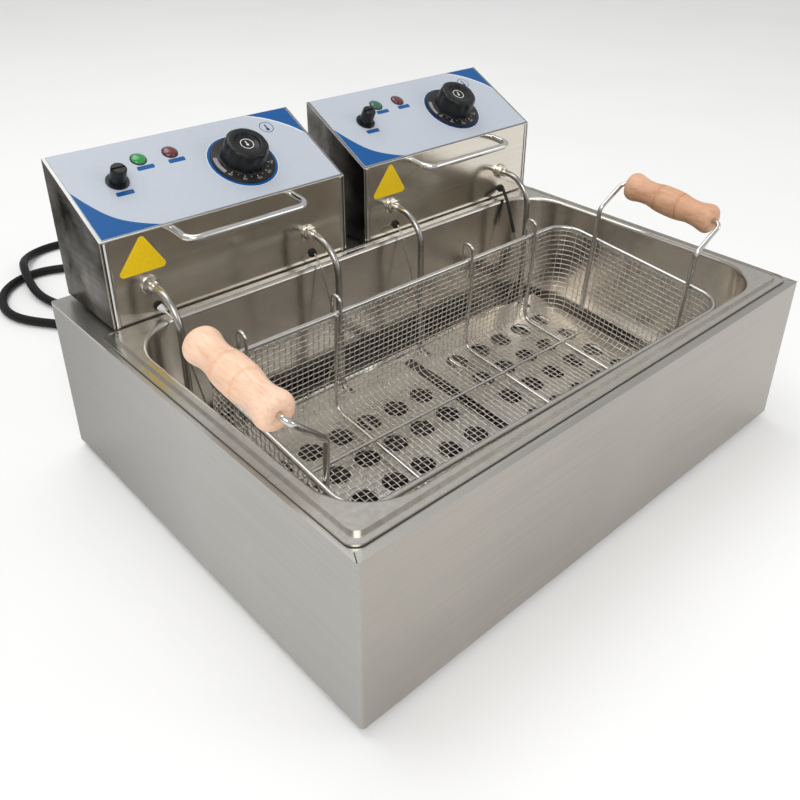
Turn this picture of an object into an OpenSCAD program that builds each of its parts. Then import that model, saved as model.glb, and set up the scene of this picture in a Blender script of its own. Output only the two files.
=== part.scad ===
// Countertop deep fryer with one large drop-in tank, two lift-off control heads
// and one wide wire basket. Millimetres, +Z up, front face towards -Y, feet on z = 0.

/* [Case] */
// Outside width of the case
case_w = 560; // [540:5:600]
// Outside depth of the case
case_d = 440; // [430:5:480]
// Height of the case above the feet
case_h = 153.5; // [150:0.5:170]
// Height of the rubber feet
foot_h = 8; // [6:1:14]
// Diameter of the rubber feet
foot_dia = 30; // [20:1:40]
// Case sheet thickness
case_t = 2; // [1.5:0.5:3]

/* [Tank] */
// Half width of the tank mouth
tank_hx = 260.2; // [258:0.1:261]
// Front edge of the tank mouth, measured from the centre of the case
tank_front = 195.5; // [190:0.5:196]
// Rear edge of the tank mouth, measured from the centre of the case
tank_rear = 112; // [110:0.5:113]
// Corner radius of the tank mouth
tank_r = 52; // [40:1:60]
// Inside depth of the tank below the deck
tank_depth = 148.5; // [148.5:0.5:149]
// Radius between the tank wall and its floor
tank_floor_r = 22; // [14:1:30]

/* [Heads] */
// Width of one control head
head_w = 251; // [245:1:251]
// Gap between the two heads
head_gap = 25.6; // [20:0.2:30]
// Height of the front face top edge above the deck
head_front_h = 85; // [80:1:95]
// Height of the back top edge above the deck
head_back_h = 133; // [128:1:140]
// Sheet thickness of the heads
head_t = 1.5; // [1:0.1:1.6]

/* [Controls] */
// Radius of the dial skirt
dial_r = 30.5; // [28:0.5:31]
// Radius of the dial grip at its foot
knob_r = 21.8; // [20:0.1:24]
// Height of the dial face above the panel
knob_h = 24; // [20:0.5:27]
// Lens radius of the lamps
lamp_r = 6.4; // [5.5:0.1:8]
// Height of the reset cap
cap_h = 17.5; // [16:0.5:20]

/* [Heating] */
// Radius of the element tube
tube_r = 3.25; // [2.8:0.05:3.25]
// Diameter of the holes in the guard plates
guard_hole = 24; // [16:1:26]
// Distance between the guard hole columns
guard_pitch = 35; // [32:0.5:35]

/* [Basket] */
// Half length of the basket rim
basket_a = 230; // [220:1:231]
// Half width of the basket rim
basket_b = 104.5; // [95:0.5:104.5]
// Depth of the basket below its rim
basket_h = 111; // [90:1:111]
// Basket rim wire radius
rim_r = 2.4; // [2:0.1:2.5]
// Wall and floor wire radius
rib_r = 1.7; // [1.4:0.1:2]
// Bail wire radius
bail_r = 2.5; // [2:0.1:2.6]
// Length of the turned grips
grip_len = 104; // [80:1:104]

/* [Leads] */
// Diameter of the supply leads
lead_dia = 11; // [9:0.5:12]

/* [Hidden] */
$fn = 64;
dk = foot_h + case_h;
tank_cy = (tank_rear - tank_front) / 2;
tank_hy = (tank_rear + tank_front) / 2;
tank_t = 1.4;
lx = -head_gap / 2 - head_w;
rx = head_gap / 2;
hy0 = 123.5;
hy1 = 215.5;
hb = 4.7;
slope = atan((head_back_h - head_front_h) / (hy1 - hy0));
ov_t = 0.5;
dial_uv = [165, 48];
cap_uv = [45.5, 58.5];
green_uv = [75, 78];
red_uv = [105.8, 78];
gland_u = [38, 206];
cap_u = [42, 208.4];
bar_u = [64.5, 188];
bar_r = 3.4;
bar_z = 80.3;
bar_droop = 4;
grid_y = 64;
grid_z = -125.5;
grid_slope = 4.4;
leg_y = 79;
basket_pos = [-6.3, -68.4, dk - 13.6];
basket_rot = [4.9, -0.6, -1.3];
wall_x = [-190, -91, 85, 181];
bail_y = [56, -64];
lead_r = lead_dia / 2;
gland_uc = 125;
gland_z = 46;

steel = [0.68, 0.67, 0.65];
steel_dark = [0.5, 0.49, 0.47];
black = [0.1, 0.11, 0.12];

// ---------- helpers ----------
// Flat rounded rectangle centred on the origin
module rr(hx, hy, r) {
  square([2 * hx, 2 * (hy - r)], center = true);
  square([2 * (hx - r), 2 * hy], center = true);
  for (sx = [-1, 1], sy = [-1, 1]) translate([sx * (hx - r), sy * (hy - r)]) circle(r);
}
// Flat rounded rectangular ring
module ring2(hx, hy, r, w, ri) {
  difference() { rr(hx, hy, r); rr(hx - w, hy - w, ri); }
}
// A cross-section carried round a rounded rectangle, outwards from its edge
module sweep_rect(hx, hy, r) {
  for (i = [0:3]) rotate([0, 0, 90 * i]) {
    h1 = i % 2 == 0 ? hx : hy;
    h2 = i % 2 == 0 ? hy : hx;
    translate([h1, h2 - r, 0]) rotate([90, 0, 0]) linear_extrude(height = 2 * (h2 - r)) children();
    translate([h1 - r, h2 - r, 0]) rotate_extrude(angle = 90) translate([r, 0]) children();
  }
}
// Straight round bar from a to b
module seg(a, b, r) {
  v = b - a;
  L = norm(v);
  translate(a) rotate([0, acos(v[2] / L), atan2(v[1], v[0])]) cylinder(h = L, r = r, $fn = 24);
}
// One rounded corner of a bent wire: corner v, directions in and out, bend radius R
module elbow(v, d1, d2, R, r) {
  th = acos(d1 * d2);
  n = unit(d2 - (d2 * d1) * d1);
  c = v - R * tan(th / 2) * d1 + R * n;
  k = cross(-n, d1);
  multmatrix([[-n[0], d1[0], k[0], c[0]], [-n[1], d1[1], k[1], c[1]], [-n[2], d1[2], k[2], c[2]], [0, 0, 0, 1]])
    rotate_extrude(angle = th, $fn = 48) translate([R, 0]) circle(r, $fn = 24);
}
// Bent round wire or tube through a list of corner points, every corner rounded to R
// (one radius, or a list with one radius per point)
module wire(p, r, R) {
  n = len(p);
  d = [for (i = [0:n - 2]) unit(p[i + 1] - p[i])];
  q = [for (i = [0:n - 1]) is_list(R) ? R[i] : R];
  t = [for (i = [0:n - 1]) i == 0 || i == n - 1 ? 0 : q[i] * tan(acos(d[i - 1] * d[i]) / 2)];
  for (i = [0:n - 2]) seg(p[i] + (t[i] + (i == 0 ? 0 : 0.02)) * d[i], p[i + 1] - (t[i + 1] + (i == n - 2 ? 0 : 0.02)) * d[i], r);
  for (i = [1:n - 2]) {
    elbow(p[i], d[i - 1], d[i], q[i], r);
    translate(p[i] - t[i] * d[i - 1]) sphere(r * 1.015, $fn = 24);
    translate(p[i] + t[i] * d[i]) sphere(r * 1.015, $fn = 24);
  }
}
// Panel frame of a head whose left edge is at x0: x across, y up the slope, z out of the panel
module on_panel(x0) { translate([x0, hy0, dk + head_front_h]) rotate([slope, 0, 0]) children(); }
module basket_place() { translate(basket_pos) rotate(basket_rot) children(); }
function arc(c, r, a0, a1, n) = [for (i = [0:n]) let (a = a0 + (a1 - a0) * i / n) [c[0] + r * cos(a), c[1] + r * sin(a)]];
function unit(v) = v / norm(v);
function clampi(i, n) = i < 0 ? 0 : (i > n ? n : i);
// Smooth curve through the route points
function spline_at(P, i, t) = let (n = len(P) - 1, a = P[clampi(i - 1, n)], b = P[i], c = P[clampi(i + 1, n)], d = P[clampi(i + 2, n)])
  0.5 * ((2 * b) + (c - a) * t + (2 * a - 5 * b + 4 * c - d) * t * t + (3 * b - 3 * c + d - a) * t * t * t);
function spline(P, k) = concat([for (i = [0:len(P) - 2], j = [0:k - 1]) spline_at(P, i, j / k)], [P[len(P) - 1]]);
function tangents(Q) = [for (i = [0:len(Q) - 1]) unit(Q[clampi(i + 1, len(Q) - 1)] - Q[clampi(i - 1, len(Q) - 1)])];
function across(n, t) = unit(n - (n * t) * t);
function frames(T) = [for (i = 0, n = across([1, 0, 0.01], T[0]); i < len(T); i = i + 1, n = across(n, T[clampi(i, len(T) - 1)])) n];
// One closed tube carried along a route
module lead(P, r, k, m) {
  Q = spline(P, k);
  T = tangents(Q);
  F = frames(T);
  N = len(Q);
  pts = [for (i = [0:N - 1], j = [0:m - 1]) let (b = cross(T[i], F[i]), a = 360 * j / m) Q[i] + r * (cos(a) * F[i] + sin(a) * b)];
  sides = [for (i = [0:N - 2], j = [0:m - 1], s = [0:1]) let (j2 = (j + 1) % m)
    s == 0 ? [i * m + j, (i + 1) * m + j, (i + 1) * m + j2] : [i * m + j, (i + 1) * m + j2, i * m + j2]];
  caps = concat([[for (j = [0:m - 1]) j]], [[for (j = [m - 1:-1:0]) (N - 1) * m + j]]);
  polyhedron(points = pts, faces = concat(sides, caps), convexity = 10);
}

// ---------- case ----------
module outer_case() {
  color(steel) difference() {
    union() {
      // walls and front ledge
      difference() {
        translate([0, 0, foot_h]) linear_extrude(height = case_h) rr(case_w / 2, case_d / 2, 3);
        translate([-case_w / 2 + case_t, -case_d / 2 + case_t, foot_h - 1]) cube([case_w - 2 * case_t, case_d - 2 * case_t, case_h + 1 - case_t]);
        translate([-case_w, 107.8, dk - case_t]) cube([2 * case_w, case_d, 10]);
      }
    }
    deck_opening(dk - 20, 40);
  }
}
module deck_opening(z, h) {
  translate([0, tank_cy, z]) linear_extrude(height = h) rr(tank_hx + 5.8, tank_hy + 5.8, 20);
}
module rear_deck() {
  color(steel) {
    difference() {
      translate([0, 0, dk - case_t]) linear_extrude(height = case_t) intersection() {
        rr(case_w / 2, case_d / 2, 3);
        translate([-case_w, 108.1]) square([2 * case_w, case_d]);
      }
      deck_opening(dk - 20, 40);
    }
    // locating pins for the heads
    for (x0 = [lx, rx], u = [30, head_w - 30]) translate([x0 + u, 190, dk]) {
      cylinder(r = 3, h = 7, $fn = 32);
      translate([0, 0, 7]) cylinder(r1 = 3, r2 = 1.6, h = 2, $fn = 32);
    }
  }
}
module base_plate() {
  color(steel_dark) translate([-case_w / 2 + case_t, -case_d / 2 + case_t, foot_h + 0.5]) difference() {
    cube([case_w - 2 * case_t, case_d - 2 * case_t, 1.5]);
    // vent slots
    for (i = [0:5]) translate([60 + i * 20, 190, -1]) cube([6, 60, 5]);
    for (i = [0:5]) translate([case_w - 166 + i * 20, 190, -1]) cube([6, 60, 5]);
  }
}
module rubber_feet() {
  color(black) for (sx = [-1, 1], sy = [-1, 1]) translate([sx * (case_w / 2 - 30), sy * (case_d / 2 - 30), 0]) {
    difference() {
      cylinder(r1 = foot_dia / 2 - 1, r2 = foot_dia / 2, h = foot_h + 0.5, $fn = 48);
      translate([0, 0, -1]) cylinder(r = 4, h = 4, $fn = 32);
    }
  }
}
module case_screws() {
  // pan heads that hold the base plate, seen from below
  color(steel) for (x = [-200, -70, 70, 200], y = [-205, 205]) translate([x, y, foot_h + 0.5]) rotate([180, 0, 0]) difference() {
    union() {
      cylinder(r = 4, h = 1.6, $fn = 32);
      translate([0, 0, 1.6]) cylinder(r1 = 4, r2 = 2.6, h = 0.8, $fn = 32);
    }
    for (a = [0, 90]) rotate([0, 0, a]) translate([-2.2, -0.45, 1.2]) cube([4.4, 0.9, 3]);
  }
}
module oil_tank() {
  zb = -tank_depth;
  rb = tank_floor_r;
  color([0.62, 0.61, 0.59]) translate([0, tank_cy, dk]) {
    // wall with a rolled mouth and a rounded foot
    sweep_rect(tank_hx, tank_hy, tank_r) polygon(concat(
      arc([-rb, zb + rb], rb, -90, 0, 6),
      arc([4, 0], 4, 180, 90, 6),
      [[5, 4], [5, 4 - tank_t]],
      arc([4, 0], 4 - tank_t, 90, 180, 6),
      arc([-rb, zb + rb], rb + tank_t, 0, -90, 6)));
    // floor
    translate([0, 0, zb - tank_t]) linear_extrude(height = tank_t) rr(tank_hx - rb, tank_hy - rb, tank_r - rb);
    // flange: flat, ridge, groove and outer lip
    translate([0, 0, 4 - tank_t]) linear_extrude(height = tank_t) difference() {
      rr(tank_hx + 8.6, tank_hy + 8.6, 9);
      rr(tank_hx + 5, tank_hy + 5, tank_r + 5);
    }
    linear_extrude(height = 4 - tank_t) ring2(tank_hx + 8.6, tank_hy + 8.6, 9, 1.4, 8);
    translate([0, 0, 4]) linear_extrude(height = 0.6) ring2(tank_hx + 8.2, tank_hy + 8.2, 8.6, 1.4, 7.2);
    translate([0, 0, 0.8]) linear_extrude(height = 0.8) ring2(tank_hx + 15.6, tank_hy + 15.6, 10, 7, 9);
    translate([0, 0, 1.6]) linear_extrude(height = 0.8) ring2(tank_hx + 15.6, tank_hy + 15.6, 10, 1.6, 8.4);
  }
}

// ---------- heads ----------
module head_prism(x, w, g) {
  // cross-section drawn in (y, z); g is the inset of front and panel
  t = tan(slope);
  n = [-sin(slope), cos(slope)];
  p0 = [hy0, head_front_h] - g * n;
  yf = hy0 + g;
  yb = g > 0 ? hy1 + 1 : hy1;
  zb0 = g > 0 ? hb - 1 : hb;
  translate([x, 0, dk]) rotate([90, 0, 90]) linear_extrude(height = w)
    polygon([[yf, zb0], [yf, p0[1] + (yf - p0[0]) * t], [yb, p0[1] + (yb - p0[0]) * t], [yb, zb0]]);
}
module head_shell(x0) {
  color(steel) difference() {
    head_prism(x0, head_w, 0);
    head_prism(x0 + head_t, head_w - 2 * head_t, head_t);
    for (u = bar_u) translate([x0 + u, hy0, dk + bar_z]) rotate([bar_droop - 90, 0, 0]) translate([0, 0, -6]) cylinder(r = bar_r, h = 20, $fn = 32);
    for (u = gland_u) translate([x0 + u, hy0 - 5, dk + 36]) rotate([-90, 0, 0]) cylinder(r = 5, h = 20, $fn = 32);
    for (u = cap_u) translate([x0 + u, hy0 - 5, dk + 14]) rotate([-90, 0, 0]) cylinder(r = 4.5, h = 20, $fn = 32);
    on_panel(x0) panel_holes();
  }
}
module panel_holes() {
  translate([dial_uv[0], dial_uv[1], -5]) cylinder(r = 4, h = 10, $fn = 32);
  translate([cap_uv[0], cap_uv[1], -5]) cylinder(r = 5, h = 10, $fn = 32);
  for (p = [green_uv, red_uv]) translate([p[0], p[1], -5]) cylinder(r = lamp_r - 1.4, h = 10, $fn = 32);
}
module rear_cover(x0) {
  t = tan(slope);
  zt = head_front_h - head_t * cos(slope) + (hy1 - head_t - hy0 - head_t * sin(slope)) * t;
  color(steel) difference() {
    translate([x0 + head_t, hy1 - head_t, dk + hb + head_t]) cube([head_w - 2 * head_t, head_t, zt - hb - head_t]);
    translate([x0 + gland_uc, hy1 - 5, dk + gland_z]) rotate([-90, 0, 0]) cylinder(r = 10, h = 20, $fn = 48);
    for (i = [0:7]) translate([x0 + 60 + i * 18, hy1 - 5, dk + 90]) cube([4, 20, 24]);
  }
}
module floor_plate(x0) {
  color(steel_dark) {
    difference() {
      translate([x0 + head_t, hy0 + head_t, dk + hb]) cube([head_w - 2 * head_t, hy1 - hy0 - head_t, head_t]);
      for (u = [30, head_w - 30]) translate([x0 + u, 190, dk]) cylinder(r = 3.08, h = 20, $fn = 32);
    }
    // pads that stand on the deck
    for (u = [14, head_w - 14], y = [140, 206]) translate([x0 + u, y, dk + 0.3]) cylinder(r = 6, h = hb - 0.3, $fn = 32);
  }
}
module panel_overlay(x0) {
  color([0.78, 0.8, 0.83]) on_panel(x0) difference() {
    translate([3.2, 2, 0]) cube([head_w - 6.2, 101, ov_t]);
    panel_holes();
  }
}
module hanging_bar(x0) {
  w = bar_u[1] - bar_u[0];
  L = 27.5;
  R = 11;
  color(steel) translate([x0 + bar_u[0], hy0, dk + bar_z]) rotate([bar_droop, 0, 0]) {
    for (i = [0, 1]) {
      translate([i * w, R - L, 0]) rotate([-90, 0, 0]) cylinder(r = bar_r, h = L - R + 4, $fn = 32);
      translate([i == 0 ? R : w - R, R - L, 0]) rotate([0, 0, i == 0 ? 180 : 270]) rotate_extrude(angle = 90) translate([R, 0]) circle(bar_r, $fn = 32);
    }
    translate([R, -L, 0]) rotate([0, 90, 0]) cylinder(r = bar_r, h = w - 2 * R, $fn = 32);
  }
}
// Tubular element: down from one gland, to and fro along the tank floor, back up to the other
module heating_element(x0) {
  xa = x0 + gland_u[0];
  xb = x0 + gland_u[1];
  p = (xb - xa) / 5;
  z1 = dk + 36;
  rear = on_grid(-11);
  front = on_grid(-228.6);
  foot = [0, leg_y, dk + grid_z + (leg_y - grid_y) * tan(grid_slope)];
  R = p / 2 - 0.3;
  color([0.42, 0.41, 0.4]) {
    wire([[xa, hy0 + 18, z1], [xa, leg_y, z1], [xa, 0, 0] + foot,
      [xa, 0, 0] + front, [xa + p, 0, 0] + front, [xa + p, 0, 0] + rear, [xa + 2 * p, 0, 0] + rear,
      [xa + 2 * p, 0, 0] + front, [xa + 3 * p, 0, 0] + front, [xa + 3 * p, 0, 0] + rear, [xa + 4 * p, 0, 0] + rear,
      [xa + 4 * p, 0, 0] + front, [xb, 0, 0] + front,
      [xb, 0, 0] + foot, [xb, leg_y, z1], [xb, hy0 + 18, z1]], tube_r,
      [0, 32, 16.2, R, R, R, R, R, R, R, R, R, R, 16.2, 32, 0]);
    // cold ends inside the head
    for (x = [xa, xb]) translate([x, hy0 + 17, z1]) rotate([-90, 0, 0]) cylinder(r = 1.6, h = 14, $fn = 24);
  }
}
// Point on the sloping plane of the grid, s measured forwards from its rear edge
function on_grid(s) = [0, grid_y + s * cos(grid_slope), dk + grid_z + s * sin(grid_slope)];
module element_glands(x0) {
  color([0.72, 0.7, 0.66]) for (u = gland_u) translate([x0 + u, 0, dk + 36]) difference() {
    union() {
      translate([0, hy0 - 1.6, 0]) rotate([-90, 0, 0]) cylinder(r = 8.8, h = 1.6, $fn = 48);
      translate([0, hy0 - 5.8, 0]) rotate([-90, 0, 0]) cylinder(r = 7.4, h = 4.2, $fn = 6);
      translate([0, hy0 - 9.4, 0]) rotate([-90, 0, 0]) cylinder(r = 5, h = 9.4 + head_t + 6, $fn = 32);
      translate([0, hy0 + head_t, 0]) rotate([-90, 0, 0]) cylinder(r = 7.5, h = 4, $fn = 6);
    }
    translate([0, hy0 - 20, 0]) rotate([-90, 0, 0]) cylinder(r = tube_r, h = 50, $fn = 32);
  }
}
module element_guard(x0, xl, xr, cols, rows) {
  color([0.55, 0.54, 0.52]) translate([0, grid_y, dk + grid_z]) rotate([grid_slope, 0, 0]) difference() {
    union() {
      translate([xl, -240, tube_r]) cube([xr - xl, 257, 1.3]);
      // folded front lip
      translate([xl, -240, tube_r - 5]) cube([xr - xl, 1.3, 5]);
    }
    for (c = cols, r = rows) translate([c, r, -1]) cylinder(r = guard_hole / 2, h = 20, $fn = 48);
    for (u = gland_u) translate([x0 + u - 4, -2, -1]) cube([8, 40, 20]);
    // outer front corner taken off where the tank floor rounds up
    for (c = [xl, xr]) if (abs(c) > 200) translate([c, -240, -10]) rotate([0, 0, 45]) cube([23, 23, 40], center = true);
  }
}
module thermostat(x0, sleeve) {
  x = x0 + cap_u[0];
  bx = x0 + gland_u[0] + 16.8;
  color([0.55, 0.5, 0.42]) {
    on_panel(x0) difference() {
      translate([dial_uv[0] - 17, dial_uv[1] - 17, -head_t - 28]) cube([34, 34, 28]);
      translate([dial_uv[0], dial_uv[1], -head_t - 20.4]) cylinder(r = 3.08, h = 40, $fn = 32);
    }
    capillary(x, bx, x0 < 0 ? [5, 12.8] : [-4, 0.5]);
  }
}
// Thin tube from the body inside the head out through the front, over the tank rim and down to its bulb;
// d gives how far it has strayed sideways at the rim and halfway down
module capillary(x, bx, d) {
  wire([[x, hy0 + 12, dk + 14], [x, hy0 - 4.5, dk + 14], [x + d[0], 107.5, dk + 4.8], [x + d[1], 84.8, dk - 74], [bx, 86.5, dk - 118.5], [bx, 82, dk - 124.7], [bx, 65.8, dk - 125.35]], 0.9, [0, 4, 6, 6, 4, 4, 0]);
  translate([0, grid_y, dk + grid_z]) rotate([grid_slope, 0, 0]) translate([bx, -78, 0]) rotate([-90, 0, 0]) cylinder(r = 3, h = 80, $fn = 32);
}
module thermostat_shaft(x0) {
  color(steel) on_panel(x0) translate([dial_uv[0], dial_uv[1], -20 - head_t]) cylinder(r = 3, h = 34, $fn = 32);
}
module dial(x0) {
  color(black) on_panel(x0) translate([dial_uv[0], dial_uv[1], 0]) difference() {
    union() {
      translate([0, 0, 1.1]) cylinder(r = dial_r, h = 1, $fn = 96);
      translate([0, 0, 2.1]) cylinder(r1 = dial_r, r2 = dial_r - 1, h = 0.7, $fn = 96);
      translate([0, 0, 2.8]) cylinder(r1 = knob_r, r2 = knob_r - 1.2, h = knob_h - 4.8, $fn = 96);
      translate([0, 0, knob_h - 2]) cylinder(r1 = knob_r - 1.2, r2 = knob_r - 3.4, h = 2, $fn = 96);
    }
    // finger flutes
    for (i = [0:7]) rotate([0, 0, 22.5 + 45 * i]) translate([knob_r + 6.2, 0, 2.8]) cylinder(r = 8, h = 30, $fn = 48);
    // dished face
    translate([0, 0, knob_h - 1.2]) cylinder(r1 = 8.5, r2 = 9.5, h = 2, $fn = 64);
    // bore for the shaft
    translate([0, 0, 0]) cylinder(r = 3, h = 12.5, $fn = 32);
  }
}
module limiter(x0, sleeve) {
  x = x0 + cap_u[1];
  bx = x0 + gland_u[1] - 16.8;
  color([0.55, 0.5, 0.42]) {
    on_panel(x0) translate([cap_uv[0], cap_uv[1], 0]) difference() {
      union() {
        translate([-15, -15, -head_t - 24]) cube([30, 30, 24]);
        translate([0, 0, -head_t]) cylinder(r = 5, h = head_t + 9, $fn = 32);
      }
      translate([0, 0, -12.5]) cylinder(r = 2.25, h = 40, $fn = 24);
    }
    capillary(x, bx, x0 < 0 ? [-1.5, 2.7] : [-5, 2]);
    // rubber sleeve over the first stretch
    if (sleeve) wire([[x, hy0 - 4.5, dk + 14], [x - 5, 107.5, dk + 4.8], [x - 1.6, 96.5, dk - 33.4]], 1.9, [0, 6, 0]);
  }
}
module reset_cap(x0) {
  color(black) on_panel(x0) translate([cap_uv[0], cap_uv[1], 0]) difference() {
    union() {
      translate([0, 0, 0.9]) cylinder(r = 10, h = 1.3, $fn = 64);
      translate([0, 0, 2.2]) cylinder(r1 = 7.2, r2 = 6.8, h = cap_h - 3.4, $fn = 64);
      translate([0, 0, cap_h - 1.2]) cylinder(r1 = 6.8, r2 = 5.8, h = 1.2, $fn = 64);
    }
    translate([0, 0, 0]) cylinder(r = 5.07, h = 12.8, $fn = 32);
    translate([-8, -0.8, cap_h - 2.2]) cube([16, 1.6, 5]);
  }
}
module reset_button(x0) {
  color([0.75, 0.1, 0.08]) on_panel(x0) translate([cap_uv[0], cap_uv[1], -8.5]) cylinder(r = 1.9, h = 20.5, $fn = 24);
}
module lamp(x0, p, c) {
  color(c) on_panel(x0) translate([p[0], p[1], 0]) {
    translate([0, 0, ov_t]) cylinder(r = lamp_r, h = 1.2, $fn = 48);
    translate([0, 0, ov_t + 1.2]) cylinder(r1 = lamp_r - 0.3, r2 = lamp_r - 2, h = 1.6, $fn = 48);
    translate([0, 0, -14]) cylinder(r = lamp_r - 1.4, h = 14 + ov_t, $fn = 32);
  }
}
module sticker(x0) {
  // blank rounded triangle on the front face
  color([0.85, 0.7, 0.06]) translate([x0, hy0, dk]) rotate([90, 0, 0]) linear_extrude(height = 0.3)
    polygon(concat(arc([35.6, 78.2], 3.4, 30, 150, 8), arc([16, 52.4], 3.4, 150, 270, 8), arc([51, 52.4], 3.4, 270, 390, 8)));
}
module capillary_bushes(x0) {
  color(black) for (u = cap_u) translate([x0 + u, hy0, dk + 14]) difference() {
    union() {
      rotate([90, 0, 0]) cylinder(r1 = 4.7, r2 = 3.9, h = 2.4, $fn = 32);
      rotate([-90, 0, 0]) cylinder(r = 4.5, h = head_t + 3, $fn = 32);
    }
    translate([0, -20, 0]) rotate([-90, 0, 0]) cylinder(r = 0.9, h = 50, $fn = 24);
  }
}
module terminal_block(x0) {
  color([0.85, 0.83, 0.78]) translate([x0 + 92, 158, dk + hb + head_t]) difference() {
    cube([66, 34, 26]);
    for (i = [0:4]) translate([8 + i * 12.5, 17, 16]) cylinder(r = 3.5, h = 20, $fn = 24);
  }
}
module cord_gland(x0) {
  // flanged bush in the rear cover and a tapered bend sleeve round the lead
  color(black) translate([x0 + gland_uc, hy1, dk + gland_z]) rotate([-90, 0, 0]) difference() {
    union() {
      translate([0, 0, -head_t - 4]) cylinder(r = 10, h = head_t + 4, $fn = 48);
      cylinder(r = 13, h = 5, $fn = 6);
      translate([0, 0, 5]) cylinder(r1 = 11, r2 = 9.5, h = 5, $fn = 48);
      translate([0, 0, 10]) cylinder(r1 = 8.6, r2 = lead_r + 1.1, h = 30, $fn = 48);
    }
    translate([0, 0, -20]) cylinder(r = lead_r, h = 90, $fn = 32);
  }
}
// Supply leads: routes in the object frame, z is the centre of the lead
lz = lead_r;
gy = hy1 + 40.3;
left_route = [[lx + gland_uc, gy, dk + gland_z], [lx + gland_uc, 278, dk + gland_z - 0.9], [-140, 300, 195.5],
  [-142, 318, 170], [-145.5, 334, 134], [-150, 350, 86], [-157, 372, 41], [-170, 404, lz + 8.5], [-187, 442, lz + 0.9],
  [-210, 474, lz], [-230, 504, lz], [-236, 540, lz], [-225, 579, lz], [-200, 609, lz], [-164, 621, lz], [-130, 611, lz],
  [-98, 589, lz], [-78, 573, lz], [-61, 564.5, lz], [-34, 561, lz]];
right_route = [[rx + gland_uc, gy, dk + gland_z], [rx + gland_uc, 278, dk + gland_z - 0.9], [135.5, 300, 195.5],
  [129.5, 319, 166], [119, 334, 124], [101, 346, 72], [70, 350.5, 27], [20, 356, lz + 3], [-48, 370, lz + 0.3],
  [-112, 410, lz], [-160, 466, lz], [-187, 530, lz + 0.4], [-187, 576, lz + 4], [-179, 617, lz + 13.5], [-166, 655, lz + 6],
  [-141, 685, lz + 0.5], [-102, 693, lz + 0.1], [-58, 675, lz], [0, 638, lz], [56, 597, lz], [84, 577.5, lz],
  [102, 568.5, lz], [130, 565, lz]];
left_coil_c = [-44, 505];
right_coil_c = [120, 508];
module cord_tube(P, k) { color(black) lead(P, lead_r, k, 10); }
// Tied coil: turns of the lead lying beside and on each other, each given as [radius, layer]
module cord_coil(c, rings) {
  color(black) translate([c[0], c[1], 0]) rotate_extrude($fn = 72) {
    for (q = rings) translate([q[0], lead_r + q[1] * (lead_dia - 0.6)]) circle(lead_r, $fn = 32);
  }
}
// Three-pin moulded plug lying on its back beside the coil
module cord_plug(c, a) {
  color(black) translate([c[0], c[1], 0]) rotate([0, 0, a]) {
    difference() {
      translate([0, 0, 0]) linear_extrude(height = 18) {
        translate([-25, -24]) square([50, 36]);
        translate([-18, 12]) square([36, 12]);
        translate([-18, 12]) circle(7, $fn = 32);
        translate([18, 12]) circle(7, $fn = 32);
      }
      translate([-40, -40, 14]) rotate([0, 0, 0]) cube([80, 8, 20]);
    }
    translate([0, 24, 8]) rotate([-90, 0, 0]) cylinder(r1 = 7.5, r2 = lead_r + 0.8, h = 16, $fn = 32);
    // last stretch of the lead, up to the coil
    translate([0, 40, 8]) rotate([-79.5, 0, 0]) cylinder(r = lead_r, h = 42, $fn = 32);
    // pins
    translate([-4, -14, 18]) cube([8, 4, 22]);
    for (s = [-1, 1]) translate([s * 11 - 3.2, 6, 18]) cube([6.4, 4, 17]);
  }
}

// ---------- basket ----------
module rim_loop(hx, hy, r, rad) {
  for (i = [0:3]) rotate([0, 0, 90 * i]) {
    h1 = i % 2 == 0 ? hx : hy;
    h2 = i % 2 == 0 ? hy : hx;
    translate([h1, -(h2 - r), 0]) rotate([-90, 0, 0]) cylinder(r = rad, h = 2 * (h2 - r), $fn = 32);
    translate([h1 - r, h2 - r, 0]) rotate_extrude(angle = 90, $fn = 48) translate([r, 0]) circle(rad, $fn = 32);
  }
}
module basket_frame() {
  wi = basket_a - 1.6 - rib_r;
  wj = basket_b - 1.6 - rib_r;
  zf = -basket_h + 0.9 + rib_r;
  color(steel) basket_place() {
    rim_loop(basket_a, basket_b, 28, rim_r);
    // U-shaped wires across the basket, front to back
    for (x = wall_x) wire([[x, -wj, 0], [x, -wj, zf], [x, wj, zf], [x, wj, 0]], rib_r, 12);
    // long floor wire
    seg([-wi + 16, 40, zf + 1.7 * rib_r], [wi - 16, 40, zf + 1.7 * rib_r], rib_r);
  }
}
module basket_mesh() {
  // woven tray drawn as a thin closed skin
  zr = -rim_r;
  zf = -basket_h;
  color([0.7, 0.7, 0.68, 1]) basket_place() {
    sweep_rect(basket_a - 12, basket_b - 12, 16) polygon(concat(
      [[12.6, zr], [11.4, zr], [11.4, zf + 12]],
      arc([0, zf + 12], 11.4, 0, -90, 6),
      arc([0, zf + 12], 12.2, -90, 0, 6),
      [[12.6, zf + 14]]));
    translate([0, 0, zf - 0.2]) linear_extrude(height = 0.8) rr(basket_a - 12, basket_b - 12, 16);
  }
}
module hook_pair(x1, x2) {
  y0 = basket_b - 1.6 - rib_r;
  yo = basket_b + 9;
  z = 16.5;
  wire([[x1, y0, -20], [x1, y0, z], [x1, yo, z], [x1, yo, -7], [x2, yo, -7], [x2, yo, z], [x2, y0, z], [x2, y0, -20]], rib_r, 5);
}
module basket_hooks() {
  color(steel) basket_place() { hook_pair(wall_x[0] + 3.6, wall_x[1] + 3.6); hook_pair(wall_x[2] - 3.6, wall_x[3] - 3.6); }
}
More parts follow.
